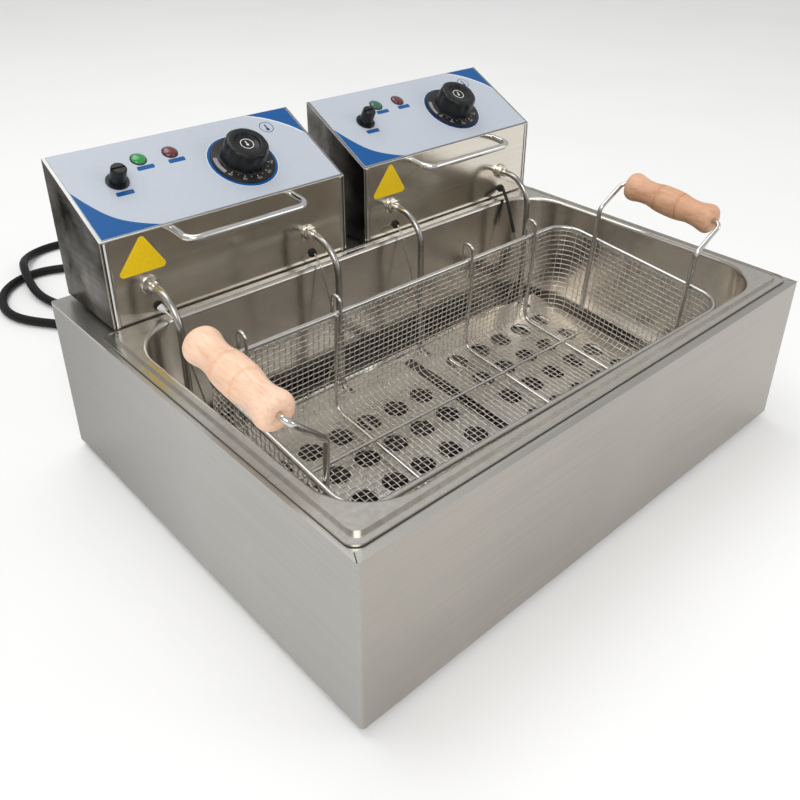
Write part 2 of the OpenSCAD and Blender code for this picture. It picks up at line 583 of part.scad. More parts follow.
// Bail: legs up inside the end wall, outwards above the rim, and along through the grip
function bail_pts(s, gx, gz) = let (x = s * (basket_a - 1.6 - bail_r - 1), y1 = bail_y[0], y2 = bail_y[1])
  [[x, y1, -basket_h + 22], [x, y1, 39], [s * gx, y1, gz], [s * gx, y2, gz], [x, y2, 39], [x, y2, -basket_h + 22]];
module left_bail() { color(steel) basket_place() wire(bail_pts(-1, 256, 70), bail_r, 7); }
module right_bail() { color(steel) basket_place() wire(bail_pts(1, 260, 61), bail_r, 7); }
module grip(gx, gz) {
  h = grip_len / 2;
  q = [[h, 11.6], [h - 1, 13.6], [h - 3, 14.8], [h - 6, 15.2], [h - 10, 14.6], [h - 16, 13.4], [h - 23, 12.6], [h - 30, 12.9], [h - 36, 14.0],
       [h - 38.2, 14.4], [h - 38.8, 13.4], [h - 39.8, 13.4], [h - 40.4, 14.6], [0, 15]];
  prof = concat([for (p = q) [p[1], p[0]]], [for (i = [len(q) - 2:-1:0]) [q[i][1], -q[i][0]]], [[bail_r + 0.08, -h], [bail_r + 0.08, h]]);
  color([0.85, 0.64, 0.44]) basket_place() translate([gx, (bail_y[0] + bail_y[1]) / 2, gz]) rotate([90, 0, 0]) rotate_extrude($fn = 72) polygon(prof);
}

// ---------- nodes ----------
lrows = [-48, -87, -126, -165, -204];
rrows = [-28, -67, -106, -145, -184, -223];
module left_head_shell() { head_shell(lx); }
module left_rear_cover() { rear_cover(lx); }
module left_floor_plate() { floor_plate(lx); }
module left_panel_overlay() { panel_overlay(lx); }
module left_hanging_bar() { hanging_bar(lx); }
module left_heating_element() { heating_element(lx); }
module left_element_glands() { element_glands(lx); }
module left_element_guard() { element_guard(lx, -247, 18, [for (i = [0:6]) -5 - guard_pitch * i], lrows); }
module left_thermostat() { thermostat(lx); }
module left_thermostat_shaft() { thermostat_shaft(lx); }
module left_dial() { dial(lx); }
module left_limiter() { limiter(lx, false); }
module left_reset_cap() { reset_cap(lx); }
module left_reset_button() { reset_button(lx); }
module left_green_lamp() { lamp(lx, green_uv, [0.1, 0.7, 0.25]); }
module left_red_lamp() { lamp(lx, red_uv, [0.6, 0.15, 0.12]); }
module left_sticker() { sticker(lx); }
module left_capillary_bushes() { capillary_bushes(lx); }
module left_terminal_block() { terminal_block(lx); }
module left_cord_gland() { cord_gland(lx); }
module right_head_shell() { head_shell(rx); }
module right_rear_cover() { rear_cover(rx); }
module right_floor_plate() { floor_plate(rx); }
module right_panel_overlay() { panel_overlay(rx); }
module right_hanging_bar() { hanging_bar(rx); }
module right_heating_element() { heating_element(rx); }
module right_element_glands() { element_glands(rx); }
module right_element_guard() { element_guard(rx, 32, 247, [for (i = [0:4]) 67.5 + guard_pitch * i], rrows); }
module right_thermostat() { thermostat(rx); }
module right_thermostat_shaft() { thermostat_shaft(rx); }
module right_dial() { dial(rx); }
module right_limiter() { limiter(rx, true); }
module right_reset_cap() { reset_cap(rx); }
module right_reset_button() { reset_button(rx); }
module right_green_lamp() { lamp(rx, green_uv, [0.15, 0.45, 0.3]); }
module right_red_lamp() { lamp(rx, red_uv, [0.6, 0.15, 0.12]); }
module right_sticker() { sticker(rx); }
module right_capillary_bushes() { capillary_bushes(rx); }
module right_terminal_block() { terminal_block(rx); }
module right_cord_gland() { cord_gland(rx); }
module left_grip() { grip(-256, 70); }
module right_grip() { grip(260, 61); }
module left_cord_tube() { cord_tube(left_route, 2); }
module left_cord_coil() { cord_coil(left_coil_c, [[46, 0], [56.4, 0], [46, 1], [56.4, 1]]); }
module left_cord_plug() { cord_plug([left_coil_c[0] + 56.4, left_coil_c[1] - 80], 0); }
module right_cord_tube() { cord_tube(right_route, 2); }
module right_cord_coil() { cord_coil(right_coil_c, [[46, 0], [56.4, 0], [56.4, 1]]); }
module right_cord_plug() { cord_plug([right_coil_c[0] + 56.4, right_coil_c[1] - 80], 0); }

outer_case();
rear_deck();
base_plate();
rubber_feet();
case_screws();
oil_tank();
left_head_shell();
left_rear_cover();
left_floor_plate();
left_panel_overlay();
left_hanging_bar();
left_heating_element();
left_element_glands();
left_element_guard();
left_thermostat();
left_thermostat_shaft();
left_dial();
left_limiter();
left_reset_cap();
left_reset_button();
left_green_lamp();
left_red_lamp();
left_sticker();
left_capillary_bushes();
left_terminal_block();
left_cord_gland();
right_head_shell();
right_rear_cover();
right_floor_plate();
right_panel_overlay();
right_hanging_bar();
right_heating_element();
right_element_glands();
right_element_guard();
right_thermostat();
right_thermostat_shaft();
right_dial();
right_limiter();
right_reset_cap();
right_reset_button();
right_green_lamp();
right_red_lamp();
right_sticker();
right_capillary_bushes();
right_terminal_block();
right_cord_gland();
basket_frame();
basket_mesh();
basket_hooks();
left_bail();
right_bail();
left_grip();
right_grip();
left_cord_tube();
left_cord_coil();
left_cord_plug();
right_cord_tube();
right_cord_coil();
right_cord_plug();
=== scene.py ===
import math

import bpy
import numpy as np
from mathutils import Euler, Matrix, Vector


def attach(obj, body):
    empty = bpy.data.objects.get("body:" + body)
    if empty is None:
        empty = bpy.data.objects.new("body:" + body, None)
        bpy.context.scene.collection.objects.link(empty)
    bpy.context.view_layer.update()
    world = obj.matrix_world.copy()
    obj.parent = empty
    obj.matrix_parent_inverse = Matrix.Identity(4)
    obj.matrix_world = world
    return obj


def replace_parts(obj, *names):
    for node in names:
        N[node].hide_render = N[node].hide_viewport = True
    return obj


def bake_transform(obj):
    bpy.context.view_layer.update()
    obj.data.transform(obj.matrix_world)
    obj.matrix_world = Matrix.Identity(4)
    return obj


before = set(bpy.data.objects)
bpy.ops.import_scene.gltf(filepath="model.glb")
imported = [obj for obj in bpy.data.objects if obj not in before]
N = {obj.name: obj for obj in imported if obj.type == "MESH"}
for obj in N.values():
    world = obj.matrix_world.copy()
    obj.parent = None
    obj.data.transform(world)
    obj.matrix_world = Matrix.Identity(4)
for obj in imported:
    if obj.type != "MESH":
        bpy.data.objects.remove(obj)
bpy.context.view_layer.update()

# ---------------------------------------------------------------- measures, in metres
DK = 0.1615  # deck the heads stand on
HY0 = 0.1235  # front face of the heads
HEAD_W = 0.251
HEAD_X = {"left": -0.2638, "right": 0.0128}
SLOPE = math.atan(48 / 92)
DIAL = (0.165, 0.048)
LEAD_R = 0.0055


def panel(side):
    return Matrix.Translation((HEAD_X[side], HY0, DK + 0.085)) @ Matrix.Rotation(SLOPE, 4, "X")


BASKET = Matrix.Translation((-0.0063, -0.0684, 0.1479)) @ Euler([math.radians(a) for a in (4.9, -0.6, -1.3)], "XYZ").to_matrix().to_4x4()

# ---------------------------------------------------------------- camera
cam_data = bpy.data.cameras.new("camera")
cam = bpy.data.objects.new("camera", cam_data)
bpy.context.scene.collection.objects.link(cam)
bpy.context.scene.camera = cam
right = Vector((0.72636914, -0.68707694, 0.01769582))
up = Vector((0.3230891, 0.36406395, 0.87353928))
back = Vector((-0.60663111, -0.62879465, 0.48643189))
cam.matrix_world = Matrix.Translation((-0.510744, -0.513661, 0.536080)) @ Matrix((right, up, back)).transposed().to_4x4()
cam_data.sensor_width = 36
cam_data.lens = 38.676
cam_data.shift_x = -0.03316
cam_data.shift_y = -0.10328
cam_data.clip_start = 0.01
cam_data.clip_end = 60
bpy.context.scene.view_settings.view_transform = "Standard"


# ---------------------------------------------------------------- mesh helpers
def add(name, verts, faces, body=None, mat=None, smooth=True, matrix=None):
    me = bpy.data.meshes.new(name)
    me.from_pydata([tuple(map(float, v)) for v in verts], [], [tuple(map(int, f)) for f in faces])
    if matrix is not None:
        me.transform(matrix)
    me.validate()
    me.update()
    me.polygons.foreach_set("use_smooth", [smooth] * len(me.polygons))
    o = bpy.data.objects.new(name, me)
    bpy.context.scene.collection.objects.link(o)
    for m in mat if isinstance(mat, (list, tuple)) else [mat] if mat else []:
        me.materials.append(m)
    if body:
        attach(o, body)
    return o


def join(parts):
    """Several (verts, faces) as one."""
    vs, fs, n = [], [], 0
    for v, f in parts:
        vs.extend(v)
        fs.extend([tuple(i + n for i in q) for q in f])
        n += len(v)
    return vs, fs


def moved(part, m):
    return [tuple(m @ Vector(v)) for v in part[0]], part[1]


def ring_faces(n, k, closed, caps=True):
    f = []
    for i in range(n if closed else n - 1):
        a, b = i * k, ((i + 1) % n) * k
        for j in range(k):
            j2 = (j + 1) % k
            f.append((a + j, a + j2, b + j2, b + j))
    if not closed and caps:
        f.append(tuple(range(k - 1, -1, -1)))
        f.append(tuple((n - 1) * k + j for j in range(k)))
    return f


def tube(P, r, k=12, closed=False, normals=None):
    """A round tube along the points; r is one radius or one per point."""
    P = np.asarray(P, float)
    n = len(P)
    if closed:
        T = np.roll(P, -1, 0) - np.roll(P, 1, 0)
    else:
        T = np.empty_like(P)
        T[1:-1] = P[2:] - P[:-2]
        T[0], T[-1] = P[1] - P[0], P[-1] - P[-2]
    T /= np.linalg.norm(T, axis=1)[:, None]
    if normals is not None:
        U = np.asarray(normals, float)
        U = U - (U * T).sum(1)[:, None] * T
        U /= np.linalg.norm(U, axis=1)[:, None]
    else:
        U = np.empty_like(P)
        a = np.array([0.31, 0.17, 0.93])
        if abs(a @ T[0]) > 0.9:
            a = np.array([0.93, 0.17, 0.11])
        for i in range(n):
            u = (a if i == 0 else U[i - 1]) - ((a if i == 0 else U[i - 1]) @ T[i]) * T[i]
            U[i] = u / np.linalg.norm(u)
    V = np.cross(T, U)
    ang = 2 * math.pi * np.arange(k) / k
    rr = (np.ones(n) * r)[:, None, None]
    verts = P[:, None, :] + rr * (np.cos(ang)[None, :, None] * U[:, None, :] + np.sin(ang)[None, :, None] * V[:, None, :])
    return verts.reshape(-1, 3).tolist(), ring_faces(n, k, closed)


def lathe(profile, k=64, closed=False):
    """(radius, height) points turned about +Z; an open profile that starts and ends on the axis gives a closed solid."""
    vs, rows = [], []
    for r, z in profile:
        if r < 1e-7:
            rows.append([len(vs)])
            vs.append((0, 0, z))
        else:
            rows.append(list(range(len(vs), len(vs) + k)))
            vs.extend((r * math.cos(2 * math.pi * j / k), r * math.sin(2 * math.pi * j / k), z) for j in range(k))
    fs = []
    pairs = list(zip(rows, rows[1:] + ([rows[0]] if closed else [])))
    if not closed:
        pairs = pairs[: len(rows) - 1]
    for a, b in pairs:
        if len(a) == 1 and len(b) == 1:
            continue
        for j in range(k):
            j2 = (j + 1) % k
            if len(a) == 1:
                fs.append((a[0], b[j2], b[j]))
            elif len(b) == 1:
                fs.append((a[j], a[j2], b[0]))
            else:
                fs.append((a[j], a[j2], b[j2], b[j]))
    return vs, fs


def prism(outline, z0, z1):
    """A flat outline (counter-clockwise) given thickness along +Z."""
    n = len(outline)
    vs = [(x, y, z0) for x, y in outline] + [(x, y, z1) for x, y in outline]
    fs = [tuple(range(n - 1, -1, -1)), tuple(range(n, 2 * n))]
    fs += [(i, (i + 1) % n, n + (i + 1) % n, n + i) for i in range(n)]
    return vs, fs


def band(inner, outer, z0, z1, closed=True):
    """A strip between two outlines with the same number of points."""
    n = len(inner)
    vs = [(x, y, z) for z in (z0, z1) for ring in (inner, outer) for x, y in ring]
    fs = []
    for i in range(n if closed else n - 1):
        j = (i + 1) % n
        a, b, c, d = i, j, n + j, n + i
        fs += [(a, b, c, d)[::-1] if False else (d, c, b, a), (2 * n + a, 2 * n + b, 2 * n + c, 2 * n + d), (a, b, 2 * n + b, 2 * n + a), (c, d, 2 * n + d, 2 * n + c)]
    if not closed:
        fs += [(0, n, 3 * n, 2 * n), (n - 1, 3 * n - 1, 4 * n - 1, 2 * n - 1)]
    return vs, fs


def circle(r, n=64, c=(0, 0), a0=0.0, a1=360.0, full=True):
    m = n if full else n + 1
    return [(c[0] + r * math.cos(math.radians(a0 + (a1 - a0) * i / n)), c[1] + r * math.sin(math.radians(a0 + (a1 - a0) * i / n))) for i in range(m)]


def fix_normals(o):
    import bmesh

    b = bmesh.new()
    b.from_mesh(o.data)
    bmesh.ops.recalc_face_normals(b, faces=b.faces)
    b.to_mesh(o.data)
    b.free()
    return o


def bevel(o, width, segments=2, angle=35, weld=True):
    if weld:
        w = o.modifiers.new("weld", "WELD")
        w.merge_threshold = 2e-6
    m = o.modifiers.new("bevel", "BEVEL")
    m.width = width
    m.segments = segments
    m.limit_method = "ANGLE"
    m.angle_limit = math.radians(angle)
    m.harden_normals = True
    m.miter_outer = "MITER_ARC"
    return o


# ---------------------------------------------------------------- materials
def new_mat(name):
    m = bpy.data.materials.new(name)
    m.use_nodes = True
    t = m.node_tree
    t.nodes.clear()
    out = t.nodes.new("ShaderNodeOutputMaterial")
    p = t.nodes.new("ShaderNodeBsdfPrincipled")
    t.links.new(p.outputs[0], out.inputs[0])
    return m, t, p


def coords(t, scale=(1, 1, 1), rot=(0, 0, 0)):
    c = t.nodes.new("ShaderNodeTexCoord")
    m = t.nodes.new("ShaderNodeMapping")
    m.inputs["Scale"].default_value = scale
    m.inputs["Rotation"].default_value = rot
    t.links.new(c.outputs["Object"], m.inputs["Vector"])
    return m.outputs[0]


def noise(t, vec, scale=1.0, detail=3.0, rough=0.5, distort=0.0):
    n = t.nodes.new("ShaderNodeTexNoise")
    n.inputs["Scale"].default_value = scale
    n.inputs["Detail"].default_value = detail
    n.inputs["Roughness"].default_value = rough
    n.inputs["Distortion"].default_value = distort
    t.links.new(vec, n.inputs["Vector"])
    return n.outputs[0]


def ramp(t, fac, stops):
    r = t.nodes.new("ShaderNodeValToRGB")
    e = r.color_ramp.elements
    while len(e) > 1:
        e.remove(e[-1])
    for i, (pos, col) in enumerate(stops):
        col = (*col, 1) if len(col) == 3 else col
        if i == 0:
            e[0].position, e[0].color = pos, col
        else:
            e.new(pos).color = col
    t.links.new(fac, r.inputs[0])
    return r.outputs[0]


def span(t, fac, lo, hi, a=0.3, b=0.7):
    m = t.nodes.new("ShaderNodeMapRange")
    m.inputs["From Min"].default_value = a
    m.inputs["From Max"].default_value = b
    m.inputs["To Min"].default_value = lo
    m.inputs["To Max"].default_value = hi
    t.links.new(fac, m.inputs["Value"])
    return m.outputs[0]


def mix(t, a, b, fac):
    m = t.nodes.new("ShaderNodeMix")
    m.data_type = "RGBA"
    for sock, v in ((m.inputs[6], a), (m.inputs[7], b)):
        if isinstance(v, tuple):
            sock.default_value = (*v, 1)
        else:
            t.links.new(v, sock)
    if isinstance(fac, float):
        m.inputs[0].default_value = fac
    else:
        t.links.new(fac, m.inputs[0])
    return m.outputs[2]


def bump(t, p, height, strength, dist=0.001, normal=None):
    b = t.nodes.new("ShaderNodeBump")
    b.inputs["Strength"].default_value = strength
    b.inputs["Distance"].default_value = dist
    t.links.new(height, b.inputs["Height"])
    if normal is not None:
        t.links.new(normal, b.inputs["Normal"])
    t.links.new(b.outputs[0], p.inputs["Normal"])
    return b.outputs[0]


def steel(name, lo, hi, rough=(0.26, 0.36), grain="X", fine=700, along=6, strength=0.05, cloud=(7.0, 0.5), metallic=1.0, waves=0.0, shade=(0.9, 1.0), painted_fade=None, edge=1.0):
    """Stainless sheet: fine grain along one axis, soft cloudy tone variation, slightly uneven gloss; with a wide
    shade range the cloudy patches are painted reflection, and the optional fade is painted light and shade along one
    axis.
    """
    m, t, p = new_mat(name)
    s = {"X": (along, fine, fine), "Y": (fine, along, fine), "Z": (fine, fine, along), "N": (fine * 0.3,) * 3}[grain]
    g = noise(t, coords(t, s), 1.0, 4.0, 0.65)
    # cloudy tone; with a wide shade range (the head sides) these patches are painted reflection
    c = noise(t, coords(t), cloud[0], 3.0, cloud[1], 0.3)
    col = ramp(t, g, [(0.25, lo), (0.75, hi)])
    cl = ramp(t, c, [(0.3, (shade[0],) * 3), (0.7, (shade[1],) * 3)])
    mul = t.nodes.new("ShaderNodeMix")
    mul.data_type = "RGBA"
    mul.blend_type = "MULTIPLY"
    mul.inputs[0].default_value = 1.0
    t.links.new(col, mul.inputs[6])
    t.links.new(cl, mul.inputs[7])
    final = mul.outputs[2]
    if painted_fade:
        # painted light and shade: a slow change of tone along one axis of the sheet: (axis, from, to, tone at from,
        # tone at to)
        sx = t.nodes.new("ShaderNodeSeparateXYZ")
        t.links.new(coords(t), sx.inputs[0])
        gain = span(t, sx.outputs[painted_fade[0]], painted_fade[3], painted_fade[4], painted_fade[1], painted_fade[2])
        mf = t.nodes.new("ShaderNodeMix")
        mf.data_type = "RGBA"
        mf.blend_type = "MULTIPLY"
        mf.inputs[0].default_value = 1.0
        t.links.new(final, mf.inputs[6])
        t.links.new(gain, mf.inputs[7])
        final = mf.outputs[2]
    t.links.new(final, p.inputs["Base Color"])
    p.inputs["Metallic"].default_value = metallic
    p.inputs["Specular Tint"].default_value = (edge, edge, edge, 1.0)
    add_ = t.nodes.new("ShaderNodeMath")
    add_.operation = "MULTIPLY_ADD"
    add_.inputs[1].default_value = (rough[1] - rough[0]) * 0.5
    t.links.new(g, add_.inputs[0])
    t.links.new(span(t, c, rough[0] - 0.01, rough[0] + (rough[1] - rough[0]) * 0.6), add_.inputs[2])
    t.links.new(add_.outputs[0], p.inputs["Roughness"])
    h = bump(t, p, g, strength, 0.0004)
    if waves:
        w = noise(t, coords(t), 5.0, 1.0, 0.4)
        bump(t, p, w, waves, 0.02, h)
    return m


def plastic(name, base, rough=0.4, speck=0.06, scale=900, strength=0.08, coat=0.0, spec=0.5):
    m, t, p = new_mat(name)
    n = noise(t, coords(t), scale, 3.0, 0.6)
    c = noise(t, coords(t), 30.0, 2.0, 0.5)
    lo = tuple(max(0.0, v * (1 - speck) - 0.001) for v in base)
    hi = tuple(min(1.0, v * (1 + speck) + 0.003) for v in base)
    t.links.new(ramp(t, c, [(0.3, lo), (0.7, hi)]), p.inputs["Base Color"])
    t.links.new(span(t, n, rough - 0.05, rough + 0.06), p.inputs["Roughness"])
    p.inputs["Specular IOR Level"].default_value = spec
    if coat:
        p.inputs["Coat Weight"].default_value = coat
        p.inputs["Coat Roughness"].default_value = 0.12
    bump(t, p, n, strength, 0.0002)
    return m


def lens(name, base, glow):
    """Moulded coloured lens with a faint facet pattern and a little light of its own."""
    m, t, p = new_mat(name)
    v = t.nodes.new("ShaderNodeTexVoronoi")
    v.inputs["Scale"].default_value = 900
    t.links.new(coords(t), v.inputs["Vector"])
    t.links.new(ramp(t, v.outputs["Distance"], [(0.0, tuple(x * 0.75 for x in base)), (0.8, base)]), p.inputs["Base Color"])
    t.links.new(span(t, v.outputs["Distance"], 0.12, 0.2, 0, 1), p.inputs["Roughness"])
    p.inputs["Coat Weight"].default_value = 0.8
    p.inputs["Coat Roughness"].default_value = 0.05
    p.inputs["Emission Color"].default_value = (*base, 1)
    p.inputs["Emission Strength"].default_value = glow
    bump(t, p, v.outputs["Distance"], 0.25, 0.0003)
    return m


def paint(name, base, rough=0.35, vary=0.05, spec=0.4):
    m, t, p = new_mat(name)
    p.inputs["Specular IOR Level"].default_value = spec
    n = noise(t, coords(t), 260.0, 4.0, 0.6)
    t.links.new(ramp(t, n, [(0.3, tuple(x * (1 - vary) for x in base)), (0.7, tuple(min(1, x * (1 + vary)) for x in base))]), p.inputs["Base Color"])
    t.links.new(span(t, n, rough - 0.04, rough + 0.05), p.inputs["Roughness"])
    bump(t, p, n, 0.04, 0.0001)
    return m


def wood(name, light, dark, knot):
    """Turned beech: fine lengthwise grain, short pores, warmer patches."""
    m, t, p = new_mat(name)
    g = noise(t, coords(t, (90, 14, 90)), 3.0, 6.0, 0.6, 0.6)
    f = noise(t, coords(t, (900, 60, 900)), 1.0, 3.0, 0.6)
    c = noise(t, coords(t), 22.0, 2.0, 0.5)
    base = ramp(t, g, [(0.3, dark), (0.5, light), (0.72, tuple(min(1, x * 1.08) for x in light))])
    pores = ramp(t, f, [(0.28, knot), (0.4, (1, 1, 1))])
    mul = t.nodes.new("ShaderNodeMix")
    mul.data_type = "RGBA"
    mul.blend_type = "MULTIPLY"
    mul.inputs[0].default_value = 0.5
    t.links.new(base, mul.inputs[6])
    t.links.new(pores, mul.inputs[7])
    warm = ramp(t, c, [(0.35, (0.9, 0.84, 0.78)), (0.65, (1, 1, 1))])
    mu2 = t.nodes.new("ShaderNodeMix")
    mu2.data_type = "RGBA"
    mu2.blend_type = "MULTIPLY"
    mu2.inputs[0].default_value = 1.0
    t.links.new(mul.outputs[2], mu2.inputs[6])
    t.links.new(warm, mu2.inputs[7])
    t.links.new(mu2.outputs[2], p.inputs["Base Color"])
    t.links.new(span(t, g, 0.42, 0.58), p.inputs["Roughness"])
    bump(t, p, f, 0.15, 0.0003)
    return m


def rubber(name, base=(0.012, 0.012, 0.013), rough=0.5, spec=0.4):
    m, t, p = new_mat(name)
    n = noise(t, coords(t), 1200.0, 3.0, 0.6)
    c = noise(t, coords(t), 14.0, 3.0, 0.6)
    t.links.new(ramp(t, c, [(0.3, base), (0.75, tuple(x * 1.9 for x in base))]), p.inputs["Base Color"])
    t.links.new(span(t, c, rough - 0.06, rough + 0.1), p.inputs["Roughness"])
    p.inputs["Specular IOR Level"].default_value = spec
    bump(t, p, n, 0.12, 0.0002)
    return m


M = {}
M["case_front"] = steel("case_front", (0.40, 0.374, 0.341), (0.485, 0.455, 0.415), (0.27, 0.36), "X", 650, 4, 0.04)
# case sides: the fade is painted shade, darker towards the rear, standing for the reflection the sheet shows there
M["case_side"] = steel("case_side", (0.42, 0.412, 0.393), (0.51, 0.50, 0.478), (0.27, 0.36), "Y", 650, 4, 0.04, painted_fade=(1, 0.21, -0.02, 0.50, 0.96))
M["case_ledge"] = steel("case_ledge", (0.46, 0.445, 0.414), (0.55, 0.535, 0.503), (0.3, 0.38), "X", 650, 4, 0.04)
M["case_ledge_y"] = steel("case_ledge_y", (0.52, 0.505, 0.47), (0.62, 0.605, 0.57), (0.3, 0.38), "Y", 650, 4, 0.04)
M["tank"] = steel("tank", (0.72, 0.675, 0.615), (0.82, 0.77, 0.705), (0.16, 0.26), "N", 500, 4, 0.02, waves=0.02)
M["flange"] = steel("flange", (0.56, 0.535, 0.49), (0.66, 0.635, 0.585), (0.2, 0.28), "N", 600, 4, 0.02)
M["head_front"] = steel("head_front", (0.70, 0.65, 0.57), (0.80, 0.745, 0.66), (0.13, 0.21), "X", 500, 3, 0.02, waves=0.05)
# head sides: the same steel as the front, painted dark with cloudy patches and a fade from a dark top to a brighter
# bottom, as painted reflection
M["head_side"] = steel("head_side", (0.20, 0.192, 0.180), (0.30, 0.289, 0.273), (0.16, 0.24), "Y", 500, 3, 0.02, cloud=(19.0, 0.6), waves=0.06, shade=(0.35, 1.5), painted_fade=(2, 0.285, 0.175, 0.6, 1.15), edge=0.34)
M["edge"] = steel("edge", (0.56, 0.55, 0.53), (0.68, 0.67, 0.65), (0.16, 0.24), "N", 600, 4, 0.02)
M["rim"] = steel("rim", (0.34, 0.335, 0.325), (0.44, 0.43, 0.415), (0.2, 0.28), "N", 600, 4, 0.02)
# near-black filler for narrow gaps and seams: painted shadow
M["painted_gap_shadow"] = plastic("painted_gap_shadow", (0.012, 0.011, 0.010), 0.7)
M["bar"] = steel("bar", (0.62, 0.61, 0.59), (0.74, 0.73, 0.71), (0.1, 0.18), "N", 600, 4, 0.02)
M["wire"] = steel("wire", (0.56, 0.55, 0.52), (0.68, 0.67, 0.64), (0.18, 0.28), "N", 700, 4, 0.03)
M["mesh"] = steel("mesh", (0.66, 0.63, 0.58), (0.80, 0.77, 0.715), (0.22, 0.34), "N", 800, 4, 0.03)
M["element"] = steel("element", (0.36, 0.345, 0.32), (0.50, 0.485, 0.455), (0.18, 0.32), "N", 300, 4, 0.04)
M["gland"] = steel("gland", (0.62, 0.58, 0.52), (0.78, 0.74, 0.67), (0.07, 0.15), "N", 500, 4, 0.02)
M["guard"] = steel("guard", (0.60, 0.57, 0.52), (0.74, 0.71, 0.655), (0.24, 0.34), "Y", 500, 5, 0.04)
M["sensor"] = steel("sensor", (0.58, 0.55, 0.50), (0.70, 0.67, 0.62), (0.2, 0.32), "N", 500, 4, 0.03)
M["overlay"] = paint("overlay", (0.475, 0.515, 0.575), 0.36, 0.02, 0.3)
M["blue"] = paint("blue", (0.008, 0.090, 0.285), 0.36, 0.05, 0.2)
M["blue_dark"] = paint("blue_dark", (0.012, 0.045, 0.15), 0.36, 0.06, 0.25)
M["white_ink"] = paint("white_ink", (0.86, 0.87, 0.88), 0.36, 0.02)
M["knob"] = plastic("knob", (0.006, 0.0065, 0.007), 0.30, 0.3, 700, 0.05, spec=0.34)
M["skirt"] = plastic("skirt", (0.014, 0.012, 0.010), 0.4, 0.3, 700, 0.05, spec=0.3)
M["pale_ink"] = paint("pale_ink", (0.72, 0.72, 0.70), 0.4, 0.05)
M["dim_ink"] = paint("dim_ink", (0.48, 0.48, 0.47), 0.4, 0.08)
M["grey_ink"] = paint("grey_ink", (0.30, 0.28, 0.29), 0.4, 0.1)
M["red_button"] = plastic("red_button", (0.5, 0.02, 0.015), 0.35)
M["lens_on"] = lens("lens_on", (0.0, 0.23, 0.030), 0.20)
M["lens_off"] = lens("lens_off", (0.012, 0.12, 0.065), 0.0)
M["lens_red"] = lens("lens_red", (0.13, 0.008, 0.007), 0.0)
M["yellow"] = paint("yellow", (0.86, 0.58, 0.010), 0.4, 0.04, 0.3)
M["bush"] = plastic("bush", (0.80, 0.79, 0.76), 0.4, 0.03)
M["grommet"] = rubber("grommet", (0.006, 0.006, 0.006), 0.45)
# much darker copy of the tank steel for the bottom: painted shade deep in the tank
M["tank_floor_painted_shade"] = steel("tank_floor_painted_shade", (0.10, 0.093, 0.085), (0.17, 0.16, 0.148), (0.3, 0.42), "N", 400, 4, 0.05)
M["groove"] = steel("groove", (0.10, 0.095, 0.088), (0.2, 0.19, 0.175), (0.2, 0.3), "N", 400, 4, 0.02)
M["ceramic"] = plastic("ceramic", (0.72, 0.69, 0.62), 0.55, 0.06)
M["rubber"] = rubber("rubber")
M["lead"] = rubber("lead_sheath", (0.0035, 0.0035, 0.0038), 0.5, 0.22)
# both grips are one beech in two copies: the left is painted lighter as painted light from the key side, the right
# darker as painted shade
M["wood_left_painted_lit"] = wood("wood_left_painted_lit", (0.95, 0.66, 0.49), (0.86, 0.54, 0.37), (0.66, 0.48, 0.36))
M["wood_right_painted_shade"] = wood("wood_right_painted_shade", (0.72, 0.42, 0.265), (0.58, 0.31, 0.175), (0.55, 0.38, 0.28))
M["brass"] = steel("brass", (0.62, 0.48, 0.26), (0.74, 0.60, 0.36), (0.2, 0.3), "N", 500, 4, 0.03)
M["base"] = steel("base", (0.40, 0.395, 0.385), (0.50, 0.495, 0.485), (0.34, 0.44), "N", 200, 4, 0.05)


def dress(node, *mats):
    o = N[node]
    o.data.materials.clear()
    for m in mats:
        o.data.materials.append(m)
    return o


def paint_faces(o, rule):
    """A material index for each face, from its centre and normal."""
    me = o.data
    k = len(me.polygons)
    c = np.zeros(k * 3)
    n = np.zeros(k * 3)
    me.polygons.foreach_get("center", c)
    me.polygons.foreach_get("normal", n)
    idx = rule(c.reshape(-1, 3), n.reshape(-1, 3)).astype(np.int32)
    me.polygons.foreach_set("material_index", idx)
    me.update()

# ---------------------------------------------------------------- supply leads
def catmull(P, k):
    P = [np.array(p, float) for p in P]
    n = len(P) - 1
    out = []
    for i in range(n):
        a, b, c, d = P[max(i - 1, 0)], P[i], P[i + 1], P[min(i + 2, n)]
        for j in range(k):
            t = j / k
            out.append(0.5 * (2 * b + (c - a) * t + (2 * a - 5 * b + 4 * c - d) * t * t + (3 * b - 3 * c + d - a) * t**3))
    out.append(P[-1])
    return out


def smooth(x):
    x = min(1.0, max(0.0, x))
    return x * x * (3 - 2 * x)


